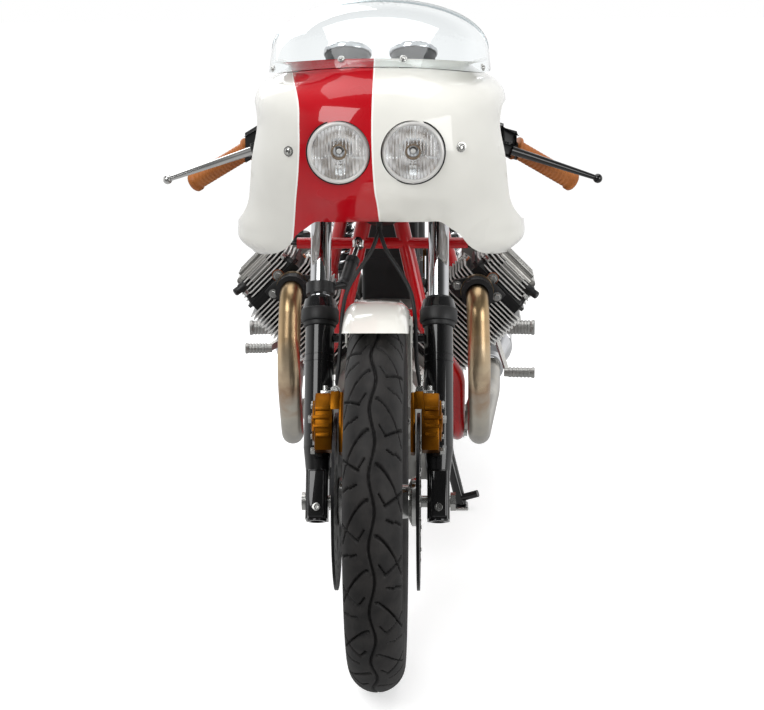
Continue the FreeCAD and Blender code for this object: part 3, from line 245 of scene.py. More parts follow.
def lamp_reflector():
    """Vapour-silvered bowl with a painted glow: emission in bands along the flutes and in soft patches stands
    in for reflected light, so it looks bright from any side.
    """
    mat, tree, shader = surface("silvered_reflector_painted_glow", "E6E8EA", 1.0, 0.18)
    node = partial(add, tree)
    place = grain(tree, shader, 9.0, 0.05, 0.12, 0.24)
    # Painted reflection: the bowl glows in bands that follow the flutes and in wandering patches, with no
    # lamp lit
    turns = node("Math", node("SeparateXYZ", place)["X"], math.pi / (FLUTE * MM), operation="MULTIPLY")[0]
    wave = node("Math", node("Math", turns, operation="SINE")[0], operation="ABSOLUTE")[0]
    lift = node("Math", node("Math", wave, 0.45, operation="MULTIPLY")[0], 0.2, operation="ADD")[0]
    highlight_patches = wandering(tree, place, 26, 1, 0.35, 0.65, 0.35, 1.15)
    glow = node("Math", lift, highlight_patches, operation="MULTIPLY")[0]
    shader.inputs["Emission Color"].default_value = linear("E4E8EC")
    tree.links.new(glow, shader.inputs["Emission Strength"])
    return mat


def tread_rubber():
    """Tyre rubber: grey-brown worn crown, turned black in the grooves by painted shade that follows the depth
    of the cut kept on the mesh.
    """
    mat, tree, shader = surface("tyre_rubber", "1D1B1B", 0.0, 0.6, Specular_IOR_Level=0.3)
    place = grain(tree, shader, 1.3, 0.12, 0.5, 0.68)
    # Painted shade: the deeper the cut, the darker the rubber
    groove_shade_mask = add(tree, "Attribute", attribute_name="groove_shade")["Fac"]
    top = drift(tree, place, "191818", "262423", 25)
    colour = add(tree, "Mix", named={SHARE: groove_shade_mask, FIRST: top, SECOND: "0D0C0C"}, data_type="RGBA")[COLOUR]
    tree.links.new(colour, shader.inputs["Base Color"])
    return mat


def finned(side):
    """Cylinder casting: black paint between the fins, machined bright at their edges, blasted covers."""
    mat, tree, shader = surface(f"finned_casting_{side}", "0E0E0E", 1.0, 0.3)
    node = partial(add, tree)
    place = grain(tree, shader, 0.5, 0.02, 0.26, 0.4)
    spot = node("SeparateXYZ", place)
    # How far the spot lies out along the cylinder, across it and from its middle in the bike's length
    out = node("Math", spot["X"], SIDES[side], operation="MULTIPLY")[0]
    rise = node("Math", spot["Z"], CRANK_Z * MM, operation="SUBTRACT")[0]
    both = node("Math", out, rise, operation="ADD")[0]
    apart = node("Math", out, rise, operation="SUBTRACT")[0]
    along = node("Math", both, DIAGONAL, operation="MULTIPLY")[0]
    across = node("Math", node("Math", apart, DIAGONAL, operation="MULTIPLY")[0], operation="ABSOLUTE")[0]
    length = node("Math", spot["Y"], CYLINDER_Y[side] * MM, operation="SUBTRACT")[0]
    length = node("Math", length, operation="ABSOLUTE")[0]
    # How near it comes to the edge of a fin, whose corners are cut
    corner = node("Math", node("Math", across, length, operation="ADD")[0], FIN_CORNER * MM,
        operation="ADD")[0]
    half_corner = node("Math", corner, 0.5, operation="MULTIPLY")[0]
    flat_reach = node("Math", across, length, operation="MAXIMUM")[0]
    reach = node("Math", flat_reach, half_corner, operation="MAXIMUM")[0]
    head = node("Math", along, HEAD_AT * MM, operation="GREATER_THAN")[0]
    wider = node("Math", head, 4 * MM, operation="MULTIPLY")[0]
    edge = node("Math", wider, FIN_HALF * MM, operation="ADD")[0]
    bright = node("Math", reach, edge, operation="GREATER_THAN")[0]
    cover = node("Math", along, COVER_AT * MM, operation="GREATER_THAN")[0]
    fins = node("Mix", named={SHARE: bright, FIRST: "0C0C0D", SECOND: "D2D1CE"}, data_type="RGBA")[COLOUR]
    blasted = drift(tree, place, "A3A19C", "B3B1AC", 30)
    colour = node("Mix", named={SHARE: cover, FIRST: fins, SECOND: blasted}, data_type="RGBA")[COLOUR]
    tree.links.new(colour, shader.inputs["Base Color"])
    bare = node("Math", node("Math", bright, 0.3, operation="MULTIPLY")[0], cover, operation="MAXIMUM")[0]
    tree.links.new(bare, shader.inputs["Metallic"])
    return mat


OUTER_EDGE = [(700, -155), (750, -146.3), (817, -137.6), (884, -129.5), (946, -127.6), (993, -131.2),
    (1017, -143), (1032, -154.3), (1060, -180)]
INNER_EDGE = [(700, 12), (787, 3.8), (816, 1.5), (845, -2), (1060, -2)]

# A grain too fine to show from where the camera stands, such as the peel of the paints or the blasting on
# the castings, is drawn as coarse as it needs to show.
MATS = {
    # Paints: an even colour with sharp lamp reflections on top
    "fairing_paint": panel_paint("fairing_paint", OUTER_EDGE, INNER_EDGE),
    "tank_paint": panel_paint("tank_paint", [(700, -86), (1000, -86)], [(700, -2), (1000, -2)]),
    "white": paint("off_white_paint", "E0DFD8", "E9E8E1"),
    "red": paint("red_frame_paint", "AE0610", "BE0A14"),
    "black": paint("black_gloss_paint", "0B0B0C", "111112"),
    # Black powder coat: a broad dull highlight and a fine orange peel
    "satin_black": soft("satin_black_powder_coat", "131314", "1A1A1B", 0.36, 0.46, 0.8, 0.02),
    # Castings and machined alloy: pale grey, matt from blasting or soft and bright where it was cut
    "cast": metal("vapour_blasted_aluminium", "9C9B98", "ACABA7", 0.36, 0.48, 0.5, 0.03),
    "bright_alloy": metal("polished_aluminium", "CFCFCD", "D8D8D6", 0.1, 0.2, 2.0, 0.003),
    "fin_edge": plain("pale_machined_aluminium", "CFCECB", "DAD9D6", 0.3, 0.3, 0.42, 0.5, 0.006, 40),
    "knurled": metal("knurled_aluminium", "A9A9A7", "B7B7B4", 0.4, 0.5, 0.6, 0.05),
    # Plated metal: a clear mirror on chrome, a softer one on zinc
    "chrome": metal("bright_chrome_plate", "C4C5C8", "CDCED0", 0.03, 0.08, 6.0, 0.002),
    "steel": metal("zinc_plated_steel", "BDBDBA", "CACAC7", 0.2, 0.32, 0.6, 0.006),
    # the lamp reflector is a mirror with a painted glow of reflected light on top
    "reflector": lamp_reflector(),
    # Coloured metal: dark and brushed on discs, warm brown on calipers, orange on washers
    "disc": metal("dark_disc_steel", "2B2B2C", "39393A", 0.3, 0.42, 0.5, 0.006),
    "gold": metal("bronze_anodised_aluminium", "7E4A0E", "8E5A14", 0.34, 0.48, 0.6, 0.02),
    "bronze": metal("dark_bronze_shade", "6A5A48", "7A6852", 0.3, 0.42),
    "copper": metal("copper_washer", "B4653C", "C27650", 0.28, 0.4),
    "tinted": heat_tinted(),
    # Clear sheet and glass: faint, with thin bright edges; frosted on the screen's lip
    "screen": clear("clear_acrylic_sheet", "F3F7F8", 0.0, 1.49, 0.2),
    "lip": clear("frosted_acrylic_edge", "C6CFD2", 0.12, 1.49),
    "glass": clear("lamp_glass", "FFFFFF", 0.0, 1.5),
    "red_lens": clear("red_lamp_lens", "C0060C", 0.05, 1.5),
    # Rubber, leather, plastic and print: no mirror, a soft sheen over pores or moulding marks
    "tyre": tread_rubber(),
    "rubber": soft("moulded_rubber", "0E0E0F", "151516", 0.42, 0.56, 0.6, 0.02),
    "grip": soft("tan_grip_rubber", "B46A2A", "A55B20", 0.46, 0.6, 0.7, 0.03),
    "leather": soft("tan_leather", "8E5125", "7C431B", 0.42, 0.58, 1.7, 0.14),
    "plastic": soft("moulded_nylon", "111112", "18181A", 0.4, 0.5, 0.4, 0.02),
    "figure": soft("printed_white_figures", "EDEDE8", "F2F2ED", 0.5, 0.6, 0.5, 0.002),
    "finned_left": finned("left"),
    "finned_right": finned("right"),
}


def spread(groups):
    """Each word of the groups, with the key that it stands under."""
    return {word: key for key, words in groups.items() for word in words.split()}


LOOK_OF_NODE = spread({"red": "frame", "black": "swingarm fork_leg front_wheel rear_wheel centre_stand",
        "cast": "bevel_box crankcase gearbox carburettor rearset", "tinted": "headers",
        "plastic": "battery_box instruments", "fairing_paint": "fairing", "screen": "windscreen",
        "tank_paint": "tank tail", "leather": "seat", "white": "rear_mudguard front_mudguard",
        "gold": "rear_caliper caliper", "chrome": "muffler headlight fork_tube",
        "satin_black": "shock fork_yokes steering_damper clip_on", "steel": "front_axle",
        "rubber": "brake_hoses", "tyre": "front_tyre rear_tyre", "finned_left": "cylinder_left",
        "finned_right": "cylinder_right"})

for node_name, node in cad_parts.items():
    look = LOOK_OF_NODE.get(node_name) or LOOK_OF_NODE[node_name.rsplit("_", 1)[0]]
    for holder in node.material_slots:
        holder.material = MATS[look]


# Shape building
def turn(bm, place, axis, profile, steps=32, closed=False, start=None, angle=math.tau):
    """Adds a body turned about an axis from a profile of (radius, distance along the axis)."""
    axis = axis.normalized()
    side = (start or axis.orthogonal()).normalized()
    verts = [bm.verts.new(place + side * r + axis * h) for r, h in profile]
    pairs = list(zip(verts, verts[1:])) + ([(verts[-1], verts[0])] if closed else [])
    edges = [bm.edges.new(pair) for pair in pairs]
    bmesh.ops.spin(bm, geom=verts + edges, cent=place, axis=axis, angle=angle, steps=steps,
        use_merge=angle == math.tau)


def ring(bm, place, axis, profile, steps=32):
    """Adds a turned body with a hole, from the profile of its wall."""
    turn(bm, place, axis, profile, steps, True)


def solid(bm, place, axis, profile, steps=32):
    """Adds a turned body with a flat face at both ends of its profile."""
    turn(bm, place, axis, [(0, profile[0][1]), *profile, (0, profile[-1][1])], steps)


def rod(bm, start, end, radius, chamfer=0.8, steps=24):
    """Adds a round bar with eased ends."""
    length = (end - start).length
    solid(bm, start, end - start, [(radius - chamfer, 0), (radius, chamfer), (radius, length - chamfer),
        (radius - chamfer, length)], steps)


def hex_bolt(bm, place, axis, radius, height, washer=1.35):
    """Adds a hexagon head on its washer, standing on a surface."""
    solid(bm, place, axis, [(radius * washer, 0), (radius * washer, 1.4)], 24)
    solid(bm, place + axis.normalized() * 1.2, axis, [(radius, 0), (radius, height - 0.8),
        (radius * 0.86, height)], 6)


def cap_screw(bm, place, axis, radius, height):
    """Adds a socket head with its recess."""
    turn(bm, place, axis, [(0, 0), (radius, 0), (radius, height - 0.7), (radius - 0.7, height),
        (radius * 0.55, height), (radius * 0.5, height * 0.45), (0, height * 0.4)], 24)


def ease(bm, edges, bevel, segments):
    bmesh.ops.bevel(bm, geom=list(edges), offset=bevel, offset_type="OFFSET", segments=segments,
        profile=0.5, affect="EDGES", material=-1, clamp_overlap=True)


def block(bm, place, axes, size, bevel=2.0, segments=2):
    """Adds a box with rounded edges along three given directions."""
    made = bmesh.ops.create_cube(bm, size=1.0)["verts"]
    basis = Matrix([axis.normalized() for axis in axes]).transposed()
    for vert in made:
        vert.co = place + basis @ Vector([c * s for c, s in zip(vert.co, size)])
    ease(bm, {edge for vert in made for edge in vert.link_edges}, bevel, segments)


def only(kind, geometry):
    return [item for item in geometry if isinstance(item, kind)]


def slab(bm, points, thickness, bevel=1.5, segments=2):
    """Adds a flat plate with rounded edges from its outline, thickened along the given vector."""
    face = bm.faces.new([bm.verts.new(p) for p in points])
    made = bmesh.ops.extrude_face_region(bm, geom=[face])["geom"]
    bmesh.ops.translate(bm, verts=only(bmesh.types.BMVert, made), vec=thickness)
    edges = {edge for f in only(bmesh.types.BMFace, made) + [face] for edge in f.edges}
    bmesh.ops.recalc_face_normals(bm, faces=bm.faces)
    ease(bm, edges, bevel, segments)


def skin(bm, outlines):
    """Adds a closed body through a row of outlines with as many points each."""
    loops = []
    for outline in outlines:
        verts = [bm.verts.new(p) for p in outline]
        loops.append([bm.edges.new(pair) for pair in zip(verts, verts[1:] + verts[:1])])
    for first, second in zip(loops, loops[1:]):
        bmesh.ops.bridge_loops(bm, edges=first + second)
    bmesh.ops.holes_fill(bm, edges=loops[0] + loops[-1])


def shown(name, data):
    """Object at the origin for a mesh, a curve, a lamp or a camera."""
    obj = bpy.data.objects.new(name, data)
    bpy.context.scene.collection.objects.link(obj)
    return obj


def baked(obj):
    """A mesh of an object as its modifiers leave it."""
    bpy.context.view_layer.update()
    return bpy.data.meshes.new_from_object(obj.evaluated_get(bpy.context.evaluated_depsgraph_get()))


def pour(bm, curve, place=None):
    """Adds the shape of a curve or a text, and drops the curve."""
    carrier = shown("path", curve)
    mesh = baked(carrier)
    if place:
        mesh.transform(place)
    bm.from_mesh(mesh)
    bpy.data.objects.remove(carrier)
    bpy.data.curves.remove(curve)
    bpy.data.meshes.remove(mesh)


def tube(bm, points, radius, sides=12):
    """Adds a round tube along one smooth curve near the given points."""
    curve = bpy.data.curves.new("path", "CURVE")
    curve.dimensions = "3D"
    curve.bevel_depth = radius
    curve.bevel_resolution = max(1, sides // 4 - 1)
    curve.use_fill_caps = True
    spline = curve.splines.new("NURBS")
    spline.points.add(len(points) - 1)
    for spot, place in zip(spline.points, points):
        spot.co = (*place, 1)
    spline.order_u = 3
    spline.use_endpoint_u = True
    spline.resolution_u = 8
    pour(bm, curve)


def figures(bm, text, size, place, across, up):
    """Adds printed figures lying on a dial, centred on a place."""
    curve = bpy.data.curves.new("figures", "FONT")
    curve.body = text
    curve.size = size
    curve.align_x = "CENTER"
    curve.align_y = "CENTER"
    curve.extrude = 0.15
    pour(bm, curve, Matrix.Translation(place) @ Matrix((across, up, across.cross(up))).transposed().to_4x4())


def sheet(bm, place, columns, rows, wall):
    """Adds a sheet with a wall, mapped over (u, v) from 0 to 1."""
    made = bmesh.ops.create_grid(bm, x_segments=columns, y_segments=rows, size=0.5)["verts"]
    for vert in made:
        vert.co = place(vert.co.x + 0.5, vert.co.y + 0.5)
    bmesh.ops.solidify(bm, geom=list({face for vert in made for face in vert.link_faces}), thickness=wall)


def drilled_ring(bm, centre, axis, radii, holes, thick):
    """Adds a flat ring between two radii, with holes of (distance, angle, radius)."""
    facing = axis.to_track_quat("Z", "Y").to_matrix().to_4x4()
    edges = []
    for distance, angle, radius, sides in [(0, 0, r, 96) for r in radii] + [(*hole, 12) for hole in holes]:
        place = Matrix.Translation((distance * math.cos(angle), distance * math.sin(angle), 0))
        made = bmesh.ops.create_circle(bm, cap_ends=False, segments=sides, radius=radius,
            matrix=Matrix.Translation(centre) @ facing @ place)["verts"]
        edges += {edge for vert in made for edge in vert.link_edges}
    filled = bmesh.ops.triangle_fill(bm, use_beauty=True, edges=edges, normal=axis)["geom"]
    grown = bmesh.ops.extrude_face_region(bm, geom=only(bmesh.types.BMFace, filled))["geom"]
    bmesh.ops.translate(bm, verts=only(bmesh.types.BMVert, grown), vec=axis * thick)


def freed(bm, name):
    """Mesh from a bmesh that is then let go."""
    mesh = bpy.data.meshes.new(name)
    bm.to_mesh(mesh)
    bm.free()
    return mesh


def to_metres(bm, scale=MM):
    bmesh.ops.scale(bm, vec=(scale, scale, scale), verts=bm.verts)


def finish(bm, name, look, body="chassis", slot=None, smooth=35, replaces=()):
    """Cleans a mesh, turns it into metres and hands it to the body that carries it."""
    bmesh.ops.remove_doubles(bm, verts=bm.verts, dist=0.003)
    bmesh.ops.recalc_face_normals(bm, faces=bm.faces)
    to_metres(bm)
    mesh = freed(bm, name)
    mesh.shade_smooth()
    mesh.set_sharp_from_angle(angle=math.radians(smooth))
    mesh.materials.append(MATS[look])
    piece = shown(name, mesh)
    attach(piece, body)
    if replaces:
        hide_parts(*replaces)
    return piece


def make(name, look, *shapes, **options):
    """One piece from shapes, each given as a function above and what it takes after the mesh."""
    bm = bmesh.new()
    for shape, *values in shapes:
        shape(bm, *values)
    return finish(bm, name, look, **options)


on_steering = partial(make, body="steering")


# Lamps
GLASS_R, GLASS_T = 45.6, 3.4
GLASS_FRONT, GLASS_DOME = -9.6, 4.2
PLAIN_R = 13    # the glass's middle without flutes


def lamp(side):
    """Round lamp: rim, gasket, bowl, reflector, fluted glass, bulb shade and pilot lamp."""
    middle = at_head(SIDES[side] * 61, -352, -27)
    make(f"lamp_rim_{side}", "fin_edge",
        (ring, middle, BACK, [(44.5, -7), (45.5, -8.6), (48, -9.2), (50.4, -7.5), (51.5, -3), (51.5, 7),
            (49.5, 10), (47, 10), (47, -2), (44.5, -3.5)], 96),
        (cap_screw, middle + point(0, -4, -48.6), -BACK, 2.6, 4.6), slot="lamp_chrome",
        replaces=[f"headlight_{side}"])
    make(f"lamp_bowl_{side}", "black",
        (turn, middle, BACK, [(47, 2), (51, 10.5), (50, 14), (47.5, 40), (32, 70), (12, 78), (0, 78.5),
            (0, 76.5), (30, 68), (45.5, 40), (46.5, 10)], 64))
    dish = [(r, 48 - 46 * (r / 45.5) ** 2) for r in (8, 14, 20, 26, 32, 37, 41, 44, 45.5)]
    make(f"lamp_reflector_{side}", "reflector",
        (ring, middle, BACK, dish + [(45.5, 4), (44, 6), (32, 26), (20, 42), (8, 50)], 72))
    make(f"lamp_shade_{side}", "bronze",
        (ring, middle, BACK, [(9.6, 8), (13.6, 8), (14.6, 10), (14.6, 40), (12.6, 40), (12.6, 11),
            (9.6, 10)], 48))
    make(f"lamp_gasket_{side}", "rubber",
        (ring, middle, BACK, [(51.6, -2), (53.4, -2), (54, 0), (54, 9), (51.6, 9)], 96))
    near, far = middle + BACK * 26, middle + BACK * 34
    make(f"lamp_bulbs_{side}", "steel",
        (turn, middle, BACK, [(0, 11), (4.5, 12), (6, 15), (6, 44), (0, 44)], 24),
        (turn, middle - UP * 27, BACK, [(0, 17), (3.4, 18), (4.8, 21), (4.8, 38), (0, 38)], 28),
        *[(rod, around(near, 13, share, SIDEWAYS), around(far, 26, share, SIDEWAYS), 0.9, 0.2, 8)
            for share in (3 / 12, 7 / 12, 11 / 12)], slot="lamp_chrome")
    glass(middle, side)


def glass(middle, side):
    """Domed glass whose inner face carries vertical flutes and a plain round centre."""
    bm = bmesh.new()
    rings = 40
    dome = [(GLASS_R * i / rings, GLASS_FRONT + GLASS_DOME * (i / rings) ** 2) for i in range(rings + 1)]
    turn(bm, middle, BACK, dome + [(r, h + GLASS_T) for r, h in reversed(dome)], 150)
    for vert in bm.verts:
        offset = vert.co - middle
        reach = math.hypot(offset.x, offset.z)
        if reach < 44 and offset.y > GLASS_FRONT + GLASS_DOME * (reach / GLASS_R) ** 2 + 2:
            flute = FLUTE_DEPTH * abs(math.sin(math.pi * offset.x / FLUTE))
            vert.co.y += flute * min(clamped((reach - PLAIN_R) / 3), (44 - reach) / 2)
    finish(bm, f"lamp_glass_{side}", "glass", slot="lamp_chrome", smooth=60)


# Fairing and screen
def eased(value):
    """Smooth step from 0 to 1."""
    value = clamped(value)
    return value * value * (3 - 2 * value)


def drawn_in(place):
    """Place on the shell moved to the photograph's outline: closer shoulders, fuller lobes, a higher arch."""
    height = place.z - at_head(0, 0, 0).z
    out = abs(place.x)
    shoulder = 0.065 * out * eased((height + 135) / 195) ** 2
    lobe = 15 * eased((-184 - height) / 40) * eased((out - 150) / 60)
    rise = 8 * eased((-95 - height) / 50) * eased((128 - out) / 26)
    return point(math.copysign(out - shoulder + lobe, place.x), place.y, place.z + rise)


def drawn_copy(node_name, name, look):
    """The built shell as it is, with its upper sides drawn in."""
    bm = bmesh.new()
    bm.from_mesh(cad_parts[node_name].data)
    to_metres(bm, 1 / MM)
    for vert in bm.verts:
        vert.co = drawn_in(vert.co)
    finish(bm, name, look, replaces=[node_name])


def screen_at(u, v):
    """Point of the bubble screen: across it from right to left, and up from its foot."""
    angle = math.pi * (u - 0.5)
    c, s = math.cos(angle), math.sin(angle)
    foot = at_head(207 * rounded(s, 0.82), -76 - 236 * rounded(c, 0.82), 82 + 26 * c * c)
    top = at_head(204 * s, -80 - 12 * c, 106 + 95 * rounded(c, 0.9))
    return drawn_in(foot + (top - foot) * v + point(0, -0.35, 0.6) * (176 * v * (1 - v) * c))


def screen_trim():
    """Frosted rolled lip along the screen's top edge, and the screws along its foot."""
    outwards = point(0, -0.5, 0.86)
    make("screen_lip", "lip",
        (sheet, lambda u, v: screen_at(u, 0.93 + 0.075 * v) + outwards * (2.4 + 2.2 * v * v), 96, 5, 2.4))
    screws = []
    for u in (0.13, 0.425, 0.555, 0.86):
        place = screen_at(u, 0.07)
        along, across = screen_at(u, 0.12) - place, screen_at(u + 0.01, 0.07) - place
        out = across.cross(along).normalized()
        screws.append((solid, place - out * 2.5, out, [(6.2, 0), (6.2, 3.1), (5.6, 3.6), (4.4, 3.7),
                (3.8, 5.0), (2.2, 6.0), (1.7, 5.0)], 28))
    make("screen_screws", "steel", *screws)


def fairing_bolts():
    """Domed socket bolts that hold the fairing to its stay, and the small screws at its lobes."""
    stay_bolts = ((point(-145.1, -682.2, 905.7), point(-0.35, -0.93, 0)),
        (point(140.1, -686.1, 912.4), point(0.35, -0.93, 0)))
    make("fairing_bolts", "steel",
        *[(solid, place - out * 1.5, out, [(8.5, 0), (8.5, 2.2), (6.6, 2.4), (6.2, 4.6), (4.6, 6.2),
                (3.0, 6.6), (2.8, 4)], 32) for place, out in stay_bolts],
        *[(turn, point(s * 186, -558, 722), point(s * 0.55, -0.83, 0), [(0, -3), (3.6, -3), (3.6, 0.8),
                (2.6, 1.9), (1.2, 2.1), (0, 1.4)], 20) for s in (1, -1)])


# Fork
def fork_side(side):
    """Dust boot, leg rings, axle lug and bolts of one leg."""
    s = SIDES[side]
    x, out = s * FORK_X, SIDEWAYS * s
    on_steering(f"fork_boot_{side}", "rubber",
        (ring, on_fork(0, x), UP_FORK, [(18.6, 357), (21.2, 357), (22, 355), (21, 352), (23, 348),
            (28.6, 338), (31.6, 335), (32.7, 332.5), (32.7, 315), (31.8, 312.2), (28.4, 311.4), (28, 305),
            (26.6, 303.5), (25.3, 303.5), (25.3, 312), (18.6, 353)], 64))
    on_steering(f"leg_lugs_{side}", "black",
        *[(ring, on_fork(low, x), UP_FORK, [(24.6, 0), (25.9, 0.6), (25.9, 2.4), (24.6, 3)], 64)
            for low in (240, 252)],
        (block, on_fork(10, x, 11.5), FORK_AXES, (30, 82, 30), 4, 3),
        (solid, on_fork(-36, x, 6), UP_FORK, [(11, 4), (11, 0), (15.5, 0), (16.5, 1.2), (16.5, 12)], 40))
    on_steering(f"leg_bolts_{side}", "steel",
        (turn, on_fork(-14, x, 26), AHEAD, [(0, 0), (7.4, 0), (7.4, 2.8), (6.6, 4), (4.2, 4.2), (3.6, 1.6),
            (0, 1.4)], 32),
        *[(hex_bolt, on_fork(along, x + s * 2, 36), out, 6.5, 7) for along in (80, 160)],
        (hex_bolt, on_fork(128, x + s * 6, 66), out, 7.5, 6))


def caliper(side):
    """Two-piece caliper: stepped bronze halves with ribs and a gap for the disc; its hose's banjo."""
    s = SIDES[side]
    out = SIDEWAYS * s

    def at(x, along, ahead):
        return on_fork(along, s * x, ahead)

    def plate(x, spots, thick, bevel):
        return slab, [at(x, *spot) for spot in spots], out * thick, bevel

    def half(low, high):
        return (low, 47), (high - 8, 47), (high, 55), (high, 78), (high - 18, 90), (low + 22, 90), (low, 76)

    ribs = ((96, 22), (111, 26), (126, 28), (141, 24))
    on_steering(f"caliper_body_{side}", "gold", plate(56, half(70, 172), 7.8, 2.4),
        plate(74.2, half(74, 170), 29.8, 2.4),
        plate(62, ((158, 60), (172, 60), (172, 84), (152, 91), (140, 91), (146, 80)), 16, 1.6),
        *[(slab, [at(79, rib - 3, 88.5), at(79 + wide, rib - 3, 88.5), at(79 + wide, rib + 3, 88.5),
                at(79, rib + 5, 88.5)], AHEAD * 4.5, 1.2) for rib, wide in ribs],
        plate(103, ((92, 54), (150, 54), (158, 62), (158, 76), (140, 84), (104, 84), (92, 74)), 5, 1.8),
        (solid, at(106, 122, 68), out, [(17, 0), (17, 2.4), (14.5, 4)], 40), replaces=[f"caliper_{side}"])
    on_steering(f"caliper_screws_{side}", "steel",
        *[(cap_screw, at(107.5, along, ahead), out, 4.6, 4) for along, ahead in ((100, 58), (150, 66))],
        (rod, at(88, 170, 64), at(88, 186, 64), 4, 0.8, 16),
        (block, at(84, 172, 70), FORK_AXES, (22, 7, 16), 1.2))
    end = at_head(s * 72, -344, -429)
    on_steering(f"hose_banjo_{side}", "steel",
        (turn, end - UP_FORK * 8, UP_FORK, [(0, -4), (7.5, -4), (7.5, -2.6), (6.4, -2.4), (6.4, 3),
            (4.6, 5), (4.6, 20), (5.4, 21), (5.4, 30), (3.6, 31)], 18),
        (hex_bolt, end + AHEAD * 4 - UP_FORK * 5, AHEAD, 6.2, 7))


def damper_trim():
    """Silver rod end, black bolt and end caps of the steering damper."""
    foot, head = on_fork(372, -64.5, -6), on_fork(468, -40, -46)
    way = (head - foot).normalized()
    on_steering("damper_rod_end", "bright_alloy",
        (ring, head - UP_FORK * 6.6, UP_FORK, [(4, 0), (9.6, 0), (10.2, 1.5), (10.2, 11.7), (9.6, 13.2),
            (4, 13.2)], 40),
        (rod, foot + way * 70, head - way * 8, 4.6, 0.6), slot="damper_grey")
    on_steering("damper_caps", "satin_black",
        (solid, head - UP_FORK * 10, UP_FORK, [(6.4, 0), (6.4, 20), (5, 22)], 6),
        (solid, foot + way * 60, way, [(11.9, 0), (12.4, 1), (12.4, 11), (10, 14)], 40),
        (solid, foot + way * 10, way, [(10.5, 0), (12, 2), (12, 10), (11.3, 12)], 40))


# Handlebars
def ridges(starts, inner, outer, rise, crest, run):
    """Profile of a row of ridges, from the inner radius up to the outer one and down again."""
    return [(r, h + d) for h in starts for r, d in ((inner, 0), (outer, rise), (outer, crest), (inner, run))]


def bar(side):
    """Grip, perch, switch box and shaped lever of one clip-on."""
    s = SIDES[side]
    root, end = at_head(s * 118, -81, 11), at_head(s * 345, 16, -133)
    length = (end - root).length
    way = (end - root).normalized()
    box = root + way * length * 0.45
    axes = (way, way.cross(UP), UP)
    start = length * 0.53    # inner end of the grip
    on_steering(f"bar_{side}", "satin_black",
        (solid, root, way, [(11, -6), (11, start)], 40),
        (ring, root + way * length * 0.33, way, [(10, 0), (16.5, 1), (17.5, 3), (17.5, 17), (16.5, 19),
            (10, 20)], 40),
        (ring, on_fork(686, s * FORK_X), UP_FORK, [(18.2, 0), (26, 0), (27, 1.2), (27, 28.8), (26, 30),
            (18.2, 30)], 56),
        (block, box + UP * 3, axes, (30, 36, 40), 6, 3),
        (block, box + point(0, 14, 8), axes, (18, 12, 14), 2.5), replaces=[f"clip_on_{side}"])
    rows = [start + 10 + i * (length - start - 22) / 14 for i in range(14)]
    on_steering(f"grip_{side}", "grip",
        (solid, root, way, [(20.5, start), (21.8, start + 1.2), (21.8, start + 3.8), (20.5, start + 5),
            (16.6, start + 6.5), *ridges(rows, 15.8, 16.6, 1.4, 5.2, 6.4), (16.6, length - 9),
            (19, length - 6.5), (19, length + 0.5), (17, length + 3), (12, length + 4)], 48), smooth=50)
    lever(side, at_head(s * 222, -78, -60), at_head(s * 392, -32, -122))


# Lever blade by its share of the length, half width and half thickness
BLADE = [(0, 9.5, 8), (0.1, 10.5, 8), (0.2, 8.6, 7.4), (0.35, 9, 7), (0.6, 8.6, 6.2), (0.85, 6.8, 5.2),
    (0.95, 5.4, 4.6), (0.98, 5, 4.4)]


def lever(side, root, tip):
    """Flat tapering lever blade with a ball end, on its pivot."""
    length = (tip - root).length
    way = (tip - root).normalized()
    flat = way.cross(UP).normalized() * SIDES[side]
    rise = flat.cross(way).normalized()
    bm = bmesh.new()
    skin(bm, [[around(root + way * length * share - flat * (9 * math.sin(math.pi * share)), 1, i / 16,
            flat * wide, rise * thick) for i in range(16)] for share, wide, thick in BLADE])
    bmesh.ops.create_uvsphere(bm, u_segments=24, v_segments=14, radius=8.6,
        matrix=Matrix.Translation(tip - way * 4))
    look, slot = ("black", "black_plastic") if side == "left" else ("bright_alloy", "chrome")
    finish(bm, f"lever_{side}", look, "steering", slot, smooth=50)
    mount = root - way * 34 - flat * 4
    on_steering(f"perch_{side}", "satin_black",
        (solid, root - rise * 13, rise, [(7, 0), (8, 1), (8, 24), (7, 25.5)], 32),
        (rod, mount, root + way * 4, 10.5, 2),
        (solid, mount - way * 20, way, [(4.5, 0), (5.2, 1), (5.2, 10), (8.6, 10), (8.6, 19)], 28),
        (block, root - way * 8 - rise, (way, flat, rise), (30, 22, 19), 4, 3))


# Wheels
BEAD_R = 228.6
TREAD_REPEATS = 18
TREAD_DEPTH = 4.2
TREAD_COLUMNS = 38
# Each cut of the tread: its inner and outer end across the tyre in mm, then its place, lean and bend as
# shares of one repeat, and half its width in mm
TREAD_CUTS = [(7, 58, 0.08, 0.66, 1.5, 2.7), (22, 60, 0.66, -0.2, 1.0, 2.2), (12, 20, 0.5, 0.12, 1.0, 1.8),
    (25, 38, 0.86, 0.05, 1.0, 1.7), (43, 58, 0.90, 0.06, 1.0, 1.6)]


def mirrored(half):
    """Profile of both sides of a wheel from that of one."""
    return half + [(r, -h) for r, h in reversed(half)]


def groove_share(across, along, period):
    """How deep the tread is cut, 0 to 1, at a place across and along the tyre."""
    repeat = along / period + (0.5 if across > 0 else 0.0)
    cuts = [abs(across - 4.6 * math.sin(math.tau * along / period)) - 2.0]
    for inner, outer, start, lean, bend, half in TREAD_CUTS:
        share = (abs(across) - inner) / (outer - inner)
        near = clamped(share)
        offset = (repeat - start - lean * near ** bend + 0.5) % 1.0 - 0.5
        cuts.append(math.hypot(offset * period, (share - near) * (outer - inner)) - half)
    return clamped(0.5 - min(cuts) / 1.6)


